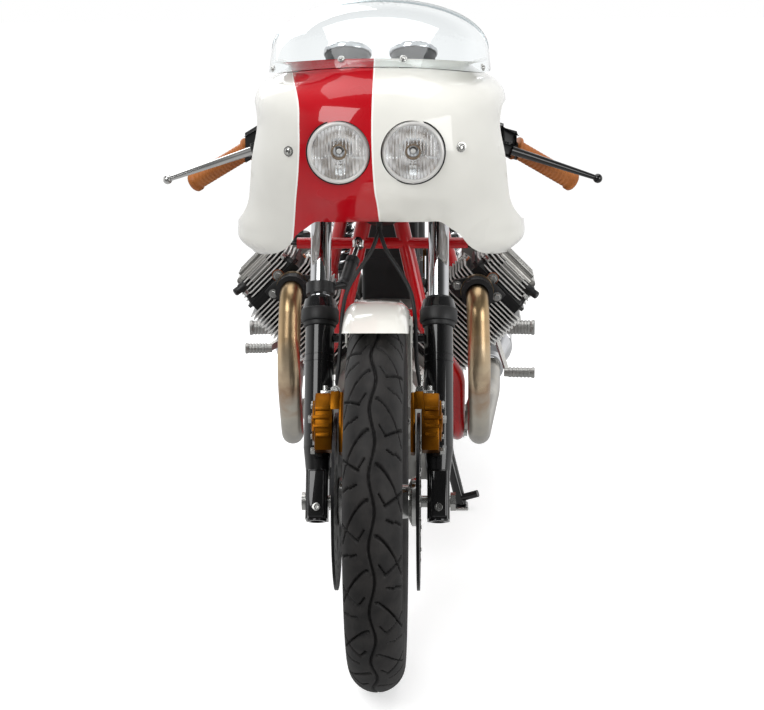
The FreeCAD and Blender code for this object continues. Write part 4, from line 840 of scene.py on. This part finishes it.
def tyre(name, axle, radius, width, rim_half):
    """Tyre with its tread really cut, fine across the crown and coarser down the walls."""
    half = width / 2
    belly = BEAD_R + 0.48 * (radius - BEAD_R)
    bow = (half ** 2 + (radius - belly) ** 2) / (2 * (radius - belly))
    middle = radius - bow
    limit = math.atan2(half, belly - middle)
    tread = min(limit, 61 / bow)

    def crown(angle, inset=0.0):
        return middle + (bow - inset) * math.cos(angle), (bow - inset) * math.sin(angle)

    bead = rim_half - 0.3
    lip = BEAD_R + 16
    wall = [crown(tread + (limit - tread) * share, inset)
        for share, inset in ((0.12, 0), (0.2, 0.9), (0.4, 0.9), (0.5, 0), (0.8, 0), (1, 0.4))]
    wall += [((lip + belly) / 2 - 3, half - 4), (lip + 3.4, bead + 12), (lip + 0.6, bead + 4), (lip, bead),
        (BEAD_R + 0.3, bead), (BEAD_R + 0.3, bead - 9), (lip + 4, bead - 9), (belly, half - 7)]
    wall += [crown(limit * share, 9) for share in (0.7, 0.35)]
    tread_line = [crown(tread * (i / TREAD_COLUMNS - 1)) for i in range(2 * TREAD_COLUMNS + 1)]
    profile = tread_line + wall + [(radius - 10, 0)] + [(r, -h) for r, h in reversed(wall)]
    bm = bmesh.new()
    groove_shade = bm.verts.layers.float.new("groove_shade")
    repeat = math.tau / TREAD_REPEATS
    turn(bm, axle, SIDEWAYS, profile, 44, True, BACK, repeat)
    for vert in bm.verts:
        offset = vert.co - axle
        reach = math.hypot(offset.y, offset.z)
        angle = math.atan2(offset.x, reach - middle)
        if abs(angle) <= tread + 0.001 and math.hypot(offset.x, reach - middle) > bow - 0.5:
            along = math.atan2(offset.z, offset.y) * radius
            # the depth of the cut is also kept on the mesh for the painted shade in the grooves
            vert[groove_shade] = share = groove_share(angle * bow, along, repeat * radius)
            outward = (point(0, offset.y, offset.z) / reach) * math.cos(angle) + SIDEWAYS * math.sin(angle)
            vert.co -= outward * share * TREAD_DEPTH
    segment = [*bm.verts, *bm.edges, *bm.faces]
    for i in range(1, TREAD_REPEATS):
        made = bmesh.ops.duplicate(bm, geom=segment)["geom"]
        bmesh.ops.rotate(bm, cent=axle, matrix=Matrix.Rotation(repeat * i, 3, SIDEWAYS),
            verts=only(bmesh.types.BMVert, made))
    finish(bm, f"{name}_tyre_tread", "tyre", f"{name}_wheel", smooth=50, replaces=[f"{name}_tyre"])


def rim_and_spokes(name, axle, rim_half, flange_x, flange_r, nipple_x):
    """Polished rim with its well, and crossed spokes in groups of four with their nipples."""
    edge = rim_half + 3.5
    wheel = f"{name}_wheel"
    half = [(212.6, 8), (BEAD_R, rim_half - 12), (BEAD_R, rim_half - 1.5), (230.4, rim_half),
        (241.6, rim_half), (243, rim_half + 1), (243, edge - 0.8), (241.8, edge), (226, edge),
        (223.8, edge - 2), (209.1, 9)]
    make(f"{name}_rim", "bright_alloy",
        (ring, axle, SIDEWAYS, mirrored(half), 144), body=wheel, slot="chrome", replaces=[wheel])
    shapes = []
    count = 36
    for i in range(count):
        side = 1 if i % 2 else -1
        lean = 62 / 360 if i % 4 < 2 else -62 / 360
        start = around(axle + SIDEWAYS * side * flange_x, flange_r, i / count + lean)
        end = around(axle + SIDEWAYS * side * nipple_x, 212, i / count)
        way = (end - start).normalized()
        shapes += [(rod, start, end, 1.8, 0.3, 6),
            (solid, end - way * 15, way, [(2.9, 0), (3.3, 9), (3.3, 15)], 6)]
    make(f"{name}_spokes", "chrome", *shapes, body=wheel)


def drillings(rows, count, radius, lag=0.5):
    """Holes in rows round a disc, each row turned against the one inside it."""
    return [(row, math.tau * (i + n * lag) / count, radius) for n, row in enumerate(rows)
        for i in range(count)]


def front_wheel():
    rim_and_spokes("front", FRONT_AXLE, 23.5, 33, 53, 5)
    on_wheel = partial(make, body="front_wheel")
    half = [(10.3, 66.5), (40, 66.5), (42, 64.5), (42, 58), (36, 55), (28, 52), (30, 38), (56, 36.5),
        (58, 35), (58, 31), (56, 29.5), (33, 28.5)]
    on_wheel("front_hub", "bright_alloy", (ring, FRONT_AXLE, SIDEWAYS, mirrored(half), 72))
    holes = drillings((112, 124, 136), 24, 3.6)
    for side, s in SIDES.items():
        axis = SIDEWAYS * s
        on_wheel(f"front_disc_{side}", "disc",
            (drilled_ring, FRONT_AXLE + axis * 66.5, axis, (99, 150), holes, 5))
        on_wheel(f"disc_carrier_{side}", "satin_black",
            (drilled_ring, FRONT_AXLE + axis * 66.8, axis, (24, 98.5), drillings((72,), 6, 15), 3.8),
            slot="cast_aluminium")
        on_wheel(f"disc_screws_{side}", "steel",
            *[(cap_screw, around(FRONT_AXLE + axis * 70.4, reach, (i + 0.5) / count), axis, size, 3)
                for count, reach, size in ((6, 34, 4.6), (12, 98, 3.8)) for i in range(count)], smooth=40)


def rear_wheel():
    rim_and_spokes("rear", REAR_AXLE, 30.5, 38, 64, 8)
    on_wheel = partial(make, body="rear_wheel")
    on_wheel("rear_hub", "bright_alloy",
        (ring, REAR_AXLE, SIDEWAYS, [(10.3, 77), (28, 77), (30, 75), (30, 70), (42, 70), (48, 62), (50, 44),
            (68, 42), (70, 40.5), (70, 36.5), (68, 35), (46, 34), (46, -40), (68, -42), (70, -43.5),
            (70, -48.5), (68, -50), (60, -52), (60, -78), (10.3, -78)], 72))
    holes = drillings((87, 99, 110), 24, 3.4)
    on_wheel("rear_disc", "disc", (drilled_ring, REAR_AXLE + SIDEWAYS * 70, SIDEWAYS, (77, 121), holes, 5))
    on_wheel("rear_disc_carrier", "satin_black",
        (drilled_ring, REAR_AXLE + SIDEWAYS * 70.4, SIDEWAYS, (29, 80), drillings((56,), 5, 13), 4),
        *[(hex_bolt, around(REAR_AXLE + SIDEWAYS * 74, 79, i / 10), SIDEWAYS, 3.6, 3) for i in range(10)],
        slot="cast_aluminium")


# Engine
PORT = (274, -28)    # the ports' place along and across a cylinder


def cylinder_trim(side):
    """Plug cap, oil unions with copper washers, cover nuts, ribs and fins, and the exhaust port's flange."""
    s = SIDES[side]
    outward, inward = point(s * DIAGONAL, 0, DIAGONAL), point(-s * DIAGONAL, 0, DIAGONAL)
    at = partial(on_cylinder, side)
    axes = (outward.cross(BACK), BACK, outward)
    shapes = [(hex_bolt, at(322, x, y), outward, 6.4, 7.5) for x in (-51, 51) for y in (-45.9, 45.9)]
    shapes += [(hex_bolt, at(284, -71.5, 12), inward, 8, 8), (hex_bolt, at(308, -20, -61.5), -BACK, 7.5, 8)]
    for x in (-34, 34):
        stud = partial(at, PORT[0] + x * 0.55, PORT[1] + x)
        shapes += [(rod, stud(-58), stud(-97), 4, 0.8, 12), (hex_bolt, stud(-89.5), -BACK, 6.4, 6.5)]
    make(f"cylinder_bolts_{side}", "steel", *shapes)
    make(f"copper_washers_{side}", "copper",
        (ring, at(284, -68.5, 12), inward, [(8, 0), (12.5, 0), (12.5, 3), (8, 3)], 32),
        (ring, at(308, -20, -60), -BACK, [(7, 0), (11.5, 0), (11.5, 2.6), (7, 2.6)], 32))
    make(f"cover_ribs_{side}", "cast",
        *[(block, at(357, 0, y), axes, (72, 7, 7), 2) for y in (-24, 0, 24)],
        (block, at(340, 0, -48), axes, (46, 8, 12), 2))
    shapes = []
    for i in range(5):
        wide, long = 65 - 1.5 * i, 60 - 1.8 * i
        corners = [(wide - 24, long), (wide, long - 24), (wide, 24 - long), (wide - 24, -long),
            (24 - wide, -long), (-wide, 24 - long), (-wide, long - 24), (24 - wide, long)]
        shapes.append((slab, [at(312.5 + 7.5 * i, x, y) for x, y in corners], outward * 2.4, 0.7, 1))
    make(f"cover_fins_{side}", "fin_edge", *shapes)
    flange = ((-44, -32), (-18, -34), (26, -12), (44, 14), (44, 32), (18, 34), (-26, 12), (-44, -14))
    make(f"port_and_plug_{side}", "satin_black",
        (solid, at(337, 40, -42), outward * 0.2 - inward * 0.9 - BACK * 0.4, [(8.5, -4), (9.5, 3),
            (9.5, 14), (7.5, 17), (7.5, 26), (6, 28)], 24),
        (slab, [at(PORT[0] + v, PORT[1] + u, -80) for u, v in flange], -BACK * 9, 2))


def header_trim(side):
    """Finned collar at the port, the clamp where the pipe enters its muffler, and the muffler's bands."""
    s = SIDES[side]
    profile = [(21.3, 10), (21.3, 44)]
    for low in (42, 34, 26, 18):
        profile += [(30, low + 1), (30, low - 2.6), (24, low - 3.4), (24, low - 6.2)]
    make(f"port_collar_{side}", "satin_black",
        (ring, on_cylinder(side, *PORT, -80), -BACK, profile, 48), slot="black_enamel")
    start, end = point(s * 214, 252, 302), point(s * 236, 860, 388)
    length = (end - start).length
    way = (end - start).normalized()
    clamp = start - way * 3 - UP * 31
    make(f"muffler_bands_{side}", "chrome",
        (ring, start - way * 14, way, [(21.3, 0), (26.5, 0), (27.5, 1.5), (27.5, 20), (26.5, 22),
            (21.3, 22)], 48),
        (block, clamp, (SIDEWAYS, way, UP), (14, 18, 12), 2),
        (rod, clamp - SIDEWAYS * 13, clamp + SIDEWAYS * 13, 3.4, 0.6, 12),
        *[(ring, start + way * length * share, way, [(44.4, 0), (46, 1), (46, 5), (44.4, 6)], 72)
            for share in (0.19, 0.855)])
    make(f"muffler_outlet_{side}", "satin_black",
        (ring, end - way * 1.5, way, [(22.3, -58), (22.3, 0), (30.6, 0), (31.6, 1.2), (30.6, 2.4),
            (20.8, 2.4), (20.8, -58)], 56), slot="black_enamel")


def crankcase_trim():
    """Screws round the front cover, sump bolts, cooling ribs, oil window and filler plug."""
    centre = point(0, -290, CRANK_Z)
    shapes = [(cap_screw, around(centre - BACK * out, reach, (i + 0.5) / count, SIDEWAYS), -BACK, 4.6, 5)
        for count, reach, out in ((12, 91, 22), (6, 51, 57)) for i in range(count)]
    for s in (1, -1):
        shapes += [(hex_bolt, point(s * 112, -262 + 46 * i, 262), SIDEWAYS * s, 5, 4.5) for i in range(6)]
        shapes += [(hex_bolt, point(s * 150, y, 290), SIDEWAYS * s, 7.5, 6) for y in (-225, -40)]
    make("crankcase_screws", "steel", *shapes)
    shapes = []
    for x in range(-80, 81, 20):
        shapes += [(block, point(x, -292, 234), BIKE_AXES, (4.5, 12, 34), 1.4),
            (block, point(x, -150, 213), BIKE_AXES, (4.5, 250, 9), 1.6)]
    make("crankcase_ribs", "cast",
        *shapes,
        (turn, centre - BACK * 57, -BACK, [(40, 0), (40, 3.6), (37, 5), (24, 5), (22, 2.4), (0, 2.4),
            (0, 0)], 64),
        *[(block, point(s * 113, -150, 320), BIKE_AXES, (6, 190, 34), 2.6) for s in (1, -1)],
        (solid, point(-112, -80, 345), -SIDEWAYS, [(17, 0), (17, 6), (13, 9), (13, 17)], 8))


def carburettor_trim(side):
    """Intake clamp, slide cover with its screws, drain plug and the bright lip of the bellmouth."""
    start = on_cylinder(side, *PORT, 80)
    make(f"carburettor_covers_{side}", "satin_black",
        (ring, start + BACK * 8, BACK, [(20.3, 0), (24, 0), (24, 9), (20.3, 9)], 40),
        (solid, start + point(0, 56, 43.5), UP, [(25, 0), (25, 4), (20, 6), (20, 20), (17, 23), (6, 24),
            (6, 34)], 36),
        (solid, start + point(0, 56, -61), -UP, [(9, 0), (9, 5), (7, 8)], 6))
    make(f"carburettor_bright_{side}", "bright_alloy",
        (ring, start + BACK * 82, BACK, [(18.4, 12), (24.8, 18), (30.5, 31.6), (34.4, 31.6), (35.4, 30.4),
            (34.4, 28.8), (25, 14), (22.4, 2), (19, 2)], 56),
        *[(cap_screw, start + point(x, y, 44), UP, 3, 3) for x in (-20, 20) for y in (38, 74)])


# Cockpit
DIAL_START, DIAL_SPAN = -135 / 360, 270 / 360    # scale of a dial, as shares of a turn from its top


def dial(side, labels, needle_turn):
    """Round instrument: cup, bright rim, face with ticks and figures, needle and glass."""
    low = on_fork(750, SIDES[side] * 58, 46)
    across, up = -SIDEWAYS, AHEAD

    def on_face(reach, share, lift):
        return around(low + UP_FORK * lift, reach, share, up, across)

    on_steering(f"dial_cup_{side}", "plastic",
        (solid, low, UP_FORK, [(29, 0), (31, 1), (39, 12), (39, 36), (41, 38), (41, 41), (38, 41.5)], 64),
        (solid, low - UP_FORK * 8, UP_FORK, [(7, 0), (7, 8)], 16), replaces=["instruments"])
    on_steering(f"dial_rim_{side}", "chrome",
        (ring, low, UP_FORK, [(38.6, 40), (39.8, 37.4), (42, 38), (42.6, 40), (42.4, 44.6), (40.6, 46.8),
            (38, 46.6), (37.2, 45.4), (37.2, 42)], 80))
    shapes = []
    for i in range(41):
        share = DIAL_START + DIAL_SPAN * i / 40
        inset, size = (1.6, (6, 1.1, 0.4)) if i % 5 == 0 else (0, (3, 0.6, 0.4))
        way = on_face(1, share, 0) - low
        shapes.append(
            (block, on_face(33.4 - inset, share, 41.8), (way, way.cross(UP_FORK), UP_FORK), size, 0.05, 1))
    for i, label in enumerate(labels):
        place = on_face(24, DIAL_START + DIAL_SPAN * i / (len(labels) - 1), 41.6)
        shapes.append((figures, label, 6.4, place, across, up))
    on_steering(f"dial_figures_{side}", "figure", *shapes)
    way = on_face(1, needle_turn / 360, 0) - low
    aside = way.cross(UP_FORK)
    hub = low + UP_FORK * 43
    needle = [hub + way * reach + aside * half
        for reach, half in ((-7, -1.4), (-7, 1.4), (30, 0.5), (30, -0.5))]
    on_steering(f"dial_needle_{side}", "figure",
        (slab, needle, UP_FORK * 0.7, 0.15, 1),
        (solid, hub - UP_FORK, UP_FORK, [(3.6, 0), (3.6, 2), (2.6, 2.6)], 24))
    on_steering(f"dial_glass_{side}", "glass",
        (turn, low, UP_FORK, [(0, 46.2), (20, 45.9), (37.4, 44.8), (37.4, 43.8), (20, 44.9), (0, 45.2)],
            64))


def yoke_trim():
    """Instrument bracket, ignition switch, stem nut, fork caps, pinch bolts and warning lamps."""
    flat = [(-80, 78), (80, 78), (92, 66), (92, 24), (70, -4), (-70, -4), (-92, 24), (-92, 66)]
    on_steering("instrument_bracket", "plastic",
        (slab, [on_fork(747, x, y) for x, y in flat], UP_FORK * 3, 1),
        (block, on_fork(754, 0, 52), FORK_AXES, (26, 10, 58), 4, 3),
        (solid, on_fork(750, 0, 4), UP_FORK, [(15, 0), (15, 12), (13, 14), (9, 14), (9, 11)], 36))
    shapes = [(hex_bolt, on_fork(757, 0, -60), UP_FORK, 17, 11, 1.15)]
    for s in (1, -1):
        shapes.append((solid, on_fork(752, s * FORK_X), UP_FORK, [(18.6, 0), (18.6, 4), (13.5, 5.5),
                (13.5, 8), (11, 8), (10, 13)], 6))
        shapes += [(cap_screw, on_fork(along, s * (FORK_X - 14), -29), -AHEAD, 4.6, 6)
            for along in (532, 736)]
        shapes.append((cap_screw, on_fork(701, s * (FORK_X + 16), -21.5), -AHEAD, 4.2, 6))
    lamps = [on_fork(759, 0, ahead) for ahead in (34, 51, 68)]
    on_steering("yoke_fasteners", "steel",
        *shapes,
        *[(ring, place, UP_FORK, [(3, 0), (6, 0), (6, 2.2), (5, 3), (3.6, 3), (3, 1.8)], 24)
            for place in lamps])
    on_steering("warning_lamps", "red_lens",
        *[(turn, place, UP_FORK, [(0, 0), (3.8, 0), (3.8, 1.6), (2, 2.8), (0, 3)], 20) for place in lamps])


# Tank, seat and tail
def filler_cap():
    middle = point(0, -189.4, 900)
    make("filler_cap", "chrome",
        (turn, middle, UP, [(0, 20), (20, 19.9), (34, 15.6), (37, 13.6), (38.8, 6), (40, 5), (41, 1),
            (40.6, -6), (0, -6)], 72),
        (block, middle + point(0, 36, 10), BIKE_AXES, (20, 12, 9), 2.4, 3),
        (rod, middle + point(-12, 41, 9), middle + point(12, 41, 9), 3, 0.6, 12),
        (slab, [middle + point(*p) for p in ((-9, -40, 12), (9, -40, 12), (6, 4, 20), (-6, 4, 20))], UP * 3,
            1.2))


SEAT_PAN = 744
# Places along the pad with its half width and height
SEAT_STATIONS = [(124, 80, 38), (160, 92, 39), (200, 100, 39), (270, 109, 40), (350, 114, 41),
    (430, 116, 45), (500, 116, 50), (545, 111, 58), (566, 106, 62)]
SEAT_RIBS = range(185, 480, 42)
SEAT_SEAM_X = 86
SWELL_FRAMES = 20


def seat_section(y, half, high):
    """One crosswise outline of the pad, flat underneath and crowned above."""
    points = []
    for i in range(36):
        angle = math.tau * (i + 0.5) / 36
        z = SEAT_PAN + max(1.2, 18 + high * rounded(math.sin(angle), 0.55))
        points.append(point(half * rounded(math.cos(angle), 0.5), y, z))
    return points


def smoothed(bm):
    bmesh.ops.smooth_vert(bm, verts=bm.verts, factor=0.5, use_axis_x=True, use_axis_y=True, use_axis_z=True)


def seat_pad():
    """Stuffed leather pad: it swells under pressure, then the cross seams are drawn in."""
    bm = bmesh.new()
    skin(bm, [seat_section(*station) for station in SEAT_STATIONS])
    bmesh.ops.recalc_face_normals(bm, faces=bm.faces)
    to_metres(bm)
    form = shown("pad_form", freed(bm, "pad_form"))
    remesh = form.modifiers.new("remesh", "REMESH")
    remesh.mode = "VOXEL"
    remesh.voxel_size = 5.5 * MM
    pad = shown("pad", baked(form))
    bpy.data.objects.remove(form)
    swell(pad, 9 * MM)
    bm = bmesh.new()
    bm.from_mesh(pad.data)
    bpy.data.objects.remove(pad)
    smoothed(bm)
    bmesh.ops.subdivide_edges(bm, edges=bm.edges, cuts=1, use_grid_fill=True, smooth=0.0)
    smoothed(bm)
    for vert in bm.verts:
        vert.co = vert.co / MM
        x, y, z = vert.co
        channel = sum(math.exp(-((y - rib) / 3.4) ** 2) for rib in SEAT_RIBS) * clamped((84 - abs(x)) / 8)
        edge = math.exp(-((abs(x) - SEAT_SEAM_X) / 3.0) ** 2)
        vert.co.z -= 4.6 * clamped((z - SEAT_PAN - 26) / 14) * max(channel, edge)
        vert.co.z = max(vert.co.z, SEAT_PAN + 0.3)
        vert.co.y = min(max(vert.co.y, 120), 571)
    finish(bm, "seat_cushion", "leather", smooth=60, replaces=["seat"])


def swell(pad, cap):
    """Lets a pad fill under pressure with its underside held, moving no point further than the cap."""
    scene = bpy.context.scene
    before = [vert.co.copy() for vert in pad.data.vertices]
    held = pad.vertex_groups.new(name="held")
    held.add([v.index for v in pad.data.vertices if v.co.z < (SEAT_PAN + 4) * MM], 1.0, "REPLACE")
    cloth = pad.modifiers.new("cloth", "CLOTH")
    cloth.settings.use_pressure = True
    cloth.settings.uniform_pressure_force = 4
    cloth.settings.vertex_group_mass = "held"
    cloth.settings.effector_weights.gravity = 0
    cloth.point_cache.frame_start, cloth.point_cache.frame_end = 1, SWELL_FRAMES
    for number in range(1, SWELL_FRAMES + 1):
        scene.frame_set(number)
    after = baked(pad)
    pad.modifiers.clear()
    pad.data = after
    scene.frame_set(1)
    for vert, start in zip(after.vertices, before):
        step = vert.co - start
        if step.length > cap:
            vert.co = start + step * (cap / step.length)


def seat_trim():
    """Piping along both edges of the pad."""
    make("seat_piping", "black",
        *[(tube, [point(s * (half + 4), y, SEAT_PAN + 3.6) for y, half, high in SEAT_STATIONS], 3.2, 8)
            for s in (1, -1)], slot="black_plastic")


def tail_lamp():
    middle = point(0, 846, 826)
    make("tail_lamp_bezel", "chrome",
        (ring, middle, BACK, [(19.2, 0), (23.5, 0), (24.5, 2), (24.5, 11), (22.5, 13.5), (19.6, 13.5)], 64),
        *[(rod, point(s * 52, 822, 800), point(s * 52, 840, 800), 3, 0.5, 12) for s in (1, -1)],
        slot="lamp_chrome")
    make("tail_lamp_lens", "red_lens",
        (turn, middle, BACK, [(0, 31), (8, 30.4), (15, 27.6), (19, 22), (20.6, 14), (20.6, 6), (19.3, 6),
            (19.3, 13), (17.6, 21), (14, 26), (8, 28.6), (0, 29.2)], 64))


# Suspension, stand and footrests
COILS = 9


def shock_absorber(side):
    """Damper with its chrome spring, spring seats, eyes and nuts."""
    s = SIDES[side]
    foot, top = point(s * 122, 622, 408), point(s * 122, 585, 715)
    length = (top - foot).length
    way = (top - foot).normalized()
    out = SIDEWAYS * s
    make(f"shock_body_{side}", "satin_black",
        (solid, foot, way, [(12, 12), (12, 28), (26, 33), (27.5, 35), (27.5, 40), (26, 42), (19, 43),
            (19, 150), (17, 152), (17, 205)], 48),
        (solid, foot, way, [(r, length - h)
            for r, h in ((22, 62), (31, 57), (32, 55), (32, 44), (30, 41), (15, 38), (13, 14))], 48),
        *[(ring, place - SIDEWAYS * 10, SIDEWAYS, [(7.3, 0), (15, 0), (16, 1), (16, 19), (15, 20),
                (7.3, 20)], 40) for place in (foot, top)], replaces=[f"shock_{side}"])
    low, pitch = 46, (length - 62 - 46) / (COILS * 10)
    ahead = way.cross(SIDEWAYS)
    make(f"shock_spring_{side}", "chrome",
        (tube, [around(foot + way * (low + pitch * i), 25.6, i / 10, SIDEWAYS, ahead)
            for i in range(COILS * 10 + 1)], 4.2, 8),
        (solid, foot, way, [(7, 200), (7, length - 60)], 24), smooth=60)
    shapes = []
    for place in (foot, top):
        shapes += [(ring, place + out * 10, out, [(7.3, 0), (12, 0), (12, 2), (7.3, 2)], 32),
            (turn, place + out * 12, out, [(0, 0), (11, 0), (11, 2), (8.8, 2), (8.8, 7.4), (6, 9.6),
                (0, 10)], 6)]
    make(f"shock_nuts_{side}", "steel", *shapes)


# Sleeve on the gear lever and on the brake pedal, from its inner to its outer end
PEDAL_SLEEVE = {"left": ((238, 92, 330), (300, 88, 330)), "right": ((-248, 92, 382), (-302, 90, 382))}
PEDAL_BOLT = {"left": (220, 205, 412), "right": (-218, 238, 380)}


def footrest(side):
    """Ridged footrest sleeve with its end cap, and the sleeve on the pedal or gear lever."""
    s = SIDES[side]
    start, end = point(s * 226, 231.2, 395), point(s * 305, 226, 395)
    length = (end - start).length
    toe, last = (point(*place) for place in PEDAL_SLEEVE[side])
    span = (last - toe).length
    rest = ridges([2 + i * (length - 8) / 10 for i in range(10)], 14.3, 15.6, 1.2, 4.6, 5.8)
    pedal = ridges([10 + i * (span - 16) / 6 for i in range(6)], 9.4, 10.8, 1, 4.6, 5.6)
    make(f"footrest_sleeves_{side}", "knurled",
        (solid, start, end - start, [(13.8, -1), *rest, (15.8, length - 4), (16.4, length - 2),
            (16.4, length + 1), (14.6, length + 2.6)], 28),
        (solid, toe, last - toe, [(9.3, 8), *pedal, (11.4, span - 2), (11.4, span + 1), (9.6, span + 2)],
            24))
    make(f"footrest_bolts_{side}", "steel",
        (hex_bolt, point(s * 212, 232, 395), SIDEWAYS * s, 7, 6),
        (hex_bolt, point(*PEDAL_BOLT[side]), SIDEWAYS * s, 6.5, 6))


def stand_trim():
    """Return spring and feet of the centre stand, and the pin bolts of the frame's plates."""
    spring = [around(point(-66, 205, 152 + 0.85 * i), 9, i / 8, SIDEWAYS, BACK) for i in range(97)]
    make("stand_spring_and_feet", "steel",
        *[(block, point(s * 150, 188, 3.2), BIKE_AXES, (31, 44, 6.2), 2) for s in (1, -1)],
        (tube, spring, 1.7, 6), body="stand", smooth=60)
    bolts = ((139, 215, 262, 9, 7), (135, 290, 370, 13, 9), (135, 262, 425, 6, 6), (135, 205, 285, 6, 6))
    make("pivot_bolts", "steel",
        *[(hex_bolt, point(s * x, y, z), SIDEWAYS * s, radius, height) for s in (1, -1)
            for x, y, z, radius, height in bolts])


def rear_end_trim():
    """Bevel box screws and plug, axle nut, rear caliper's screws and ribs, battery box's screws."""
    make("rear_fasteners", "steel",
        *[(hex_bolt, around(REAR_AXLE - SIDEWAYS * 128, 62, (i + 0.5) / 8), -SIDEWAYS, 5, 5)
            for i in range(8)],
        (hex_bolt, REAR_AXLE + point(-136, 10, -48), -SIDEWAYS, 8, 7),
        (hex_bolt, REAR_AXLE + point(-152, 0, 0), -SIDEWAYS, 15, 10, 1.2),
        *[(cap_screw, REAR_AXLE + point(99.5, y, z), SIDEWAYS, 4.4, 4) for z in (62, 96) for y in (52, 84)],
        *[(hex_bolt, point(s * 61, 164, 559), SIDEWAYS * s, 6, 5) for s in (1, -1)])
    make("rear_caliper_ribs", "gold",
        *[(block, REAR_AXLE + point(100, 68, 56 + 11 * i), BIKE_AXES, (5, 44, 4), 1.2) for i in range(5)])


tyre("front", FRONT_AXLE, 319, 95, 23.5)
tyre("rear", REAR_AXLE, 333, 130, 30.5)
front_wheel()
rear_wheel()
for each in SIDES:
    for piece_maker in (lamp, fork_side, caliper, bar, cylinder_trim, header_trim, carburettor_trim,
            shock_absorber, footrest):
        piece_maker(each)
dial("left", [str(20 * i) for i in range(9)], -128)
dial("right", [str(i) for i in range(9)], -135)
drawn_copy("fairing", "fairing_shell", "fairing_paint")
drawn_copy("windscreen", "screen_sheet", "screen")
for piece_maker in (screen_trim, fairing_bolts, damper_trim, yoke_trim, crankcase_trim, filler_cap,
        seat_pad, seat_trim, tail_lamp, stand_trim, rear_end_trim):
    piece_maker()


# Studio
FLOOR_FADE = (1.3, 3.4)    # metres from the middle over which the floor turns plain white


def seen_straight(tree, path):
    """1 for rays from the camera, also through glass."""
    return add(tree, "Math", path["Is Camera Ray"], path["Is Transmission Ray"], operation="MAXIMUM")[0]


def pale_floor():
    """Matt floor that takes the soft shadow near the object and turns plain white further out."""
    mat, tree, shader = surface("pale_floor", "E6E6E6", 0.0, 0.9)
    node = partial(add, tree)
    place = node("TexCoord")["Object"]
    path = node("LightPath")
    reach = node("VectorMath", place, operation="LENGTH")["Value"]
    far = node("MapRange", reach, *FLOOR_FADE, interpolation_type="SMOOTHSTEP")[0]
    tones = {SHARE: path["Is Glossy Ray"], FIRST: "E6E6E6", SECOND: "5A5A5A"}
    near = node("Mix", named=tones, data_type="RGBA")[COLOUR]
    colour = node("Mix", named={SHARE: far, FIRST: near, SECOND: "000000"}, data_type="RGBA")[COLOUR]
    tree.links.new(colour, shader.inputs["Base Color"])
    front = node("MapRange", node("SeparateXYZ", place)["Y"], -2.4, -0.2, 0.15, 0.8,
        interpolation_type="SMOOTHSTEP")[0]
    mirror = node("Math", path["Is Glossy Ray"], front, operation="MULTIPLY")[0]
    seen = node("Math", seen_straight(tree, path), mirror, operation="MAXIMUM")[0]
    shader.inputs["Emission Color"].default_value = linear("FFFFFF")
    glow = node("Math", node("MapRange", far, 0, 1, 0.52, 1.0)[0], seen, operation="MULTIPLY")[0]
    tree.links.new(glow, shader.inputs["Emission Strength"])
    return mat


def sky():
    """White to the camera; in mirrors it is dark behind the camera and dim overhead."""
    world = bpy.data.worlds.new("studio")
    bpy.context.scene.world = world
    world.use_nodes = True
    tree = world.node_tree
    node = partial(add, tree)
    back = tree.nodes["Background"]
    back.inputs["Color"].default_value = linear("FFFFFF")
    path = node("LightPath")
    towards = node("SeparateXYZ", node("TexCoord")["Generated"])
    level = node("MapRange", towards["Z"], -0.2, 0.9, 0.36, 0.7)[0]
    behind = node("MapRange", towards["Y"], -0.75, 0.25, 0.16, 1.0, interpolation_type="SMOOTHSTEP")[0]
    overhead = node("MapRange", towards["Z"], 0.3, 0.62, 1.0, 0.3, interpolation_type="SMOOTHSTEP")[0]
    level_in_mirror = node("Math", behind, overhead, operation="MULTIPLY")[0]
    # A Mix node for numbers takes its share at 0 and its two values at 2 and 3
    rest = node("Mix", named={0: path["Is Glossy Ray"], 2: level, 3: level_in_mirror})[0]
    strength = node("Mix", named={0: seen_straight(tree, path), 2: rest, 3: 1.0})[0]
    tree.links.new(strength, back.inputs["Strength"])


def studio():
    """Floor, four soft lamps and the photograph's camera."""
    scene = bpy.context.scene
    scene.view_settings.view_transform = "Standard"
    sky()
    bm = bmesh.new()
    bmesh.ops.create_grid(bm, x_segments=1, y_segments=1, size=14)
    floor = shown("floor", freed(bm, "floor"))
    floor.data.materials.append(pale_floor())
    for name, where, size, power in (("key", (-2.0, -3.6, 3.4), 2.4, 90),
            ("fill", (3.0, -3.0, 1.3), 2.2, 60), ("top", (0.0, 0.2, 3.8), 3.0, 60),
            ("rear", (-1.5, 3.4, 2.6), 2.4, 50)):
        light = bpy.data.lights.new(name, "AREA")
        light.size = size
        light.energy = power
        obj = shown(name, light)
        obj.location = where
        obj.rotation_euler = (point(0, 0, 0.6) - Vector(where)).to_track_quat("-Z", "Y").to_euler()
    camera = bpy.data.cameras.new("camera")
    camera.sensor_width = 36.0
    camera.lens = 93.6
    eye = shown("camera", camera)
    eye.location = (0.110, -3.9455, 1.366)
    pan, tilt, roll = (Matrix.Rotation(math.radians(angle), 3, axis)
        for angle, axis in ((1.81, "Z"), (76.11, "X"), (-0.43, "Z")))
    eye.rotation_euler = (pan @ tilt @ roll).to_euler()
    scene.camera = eye


studio()
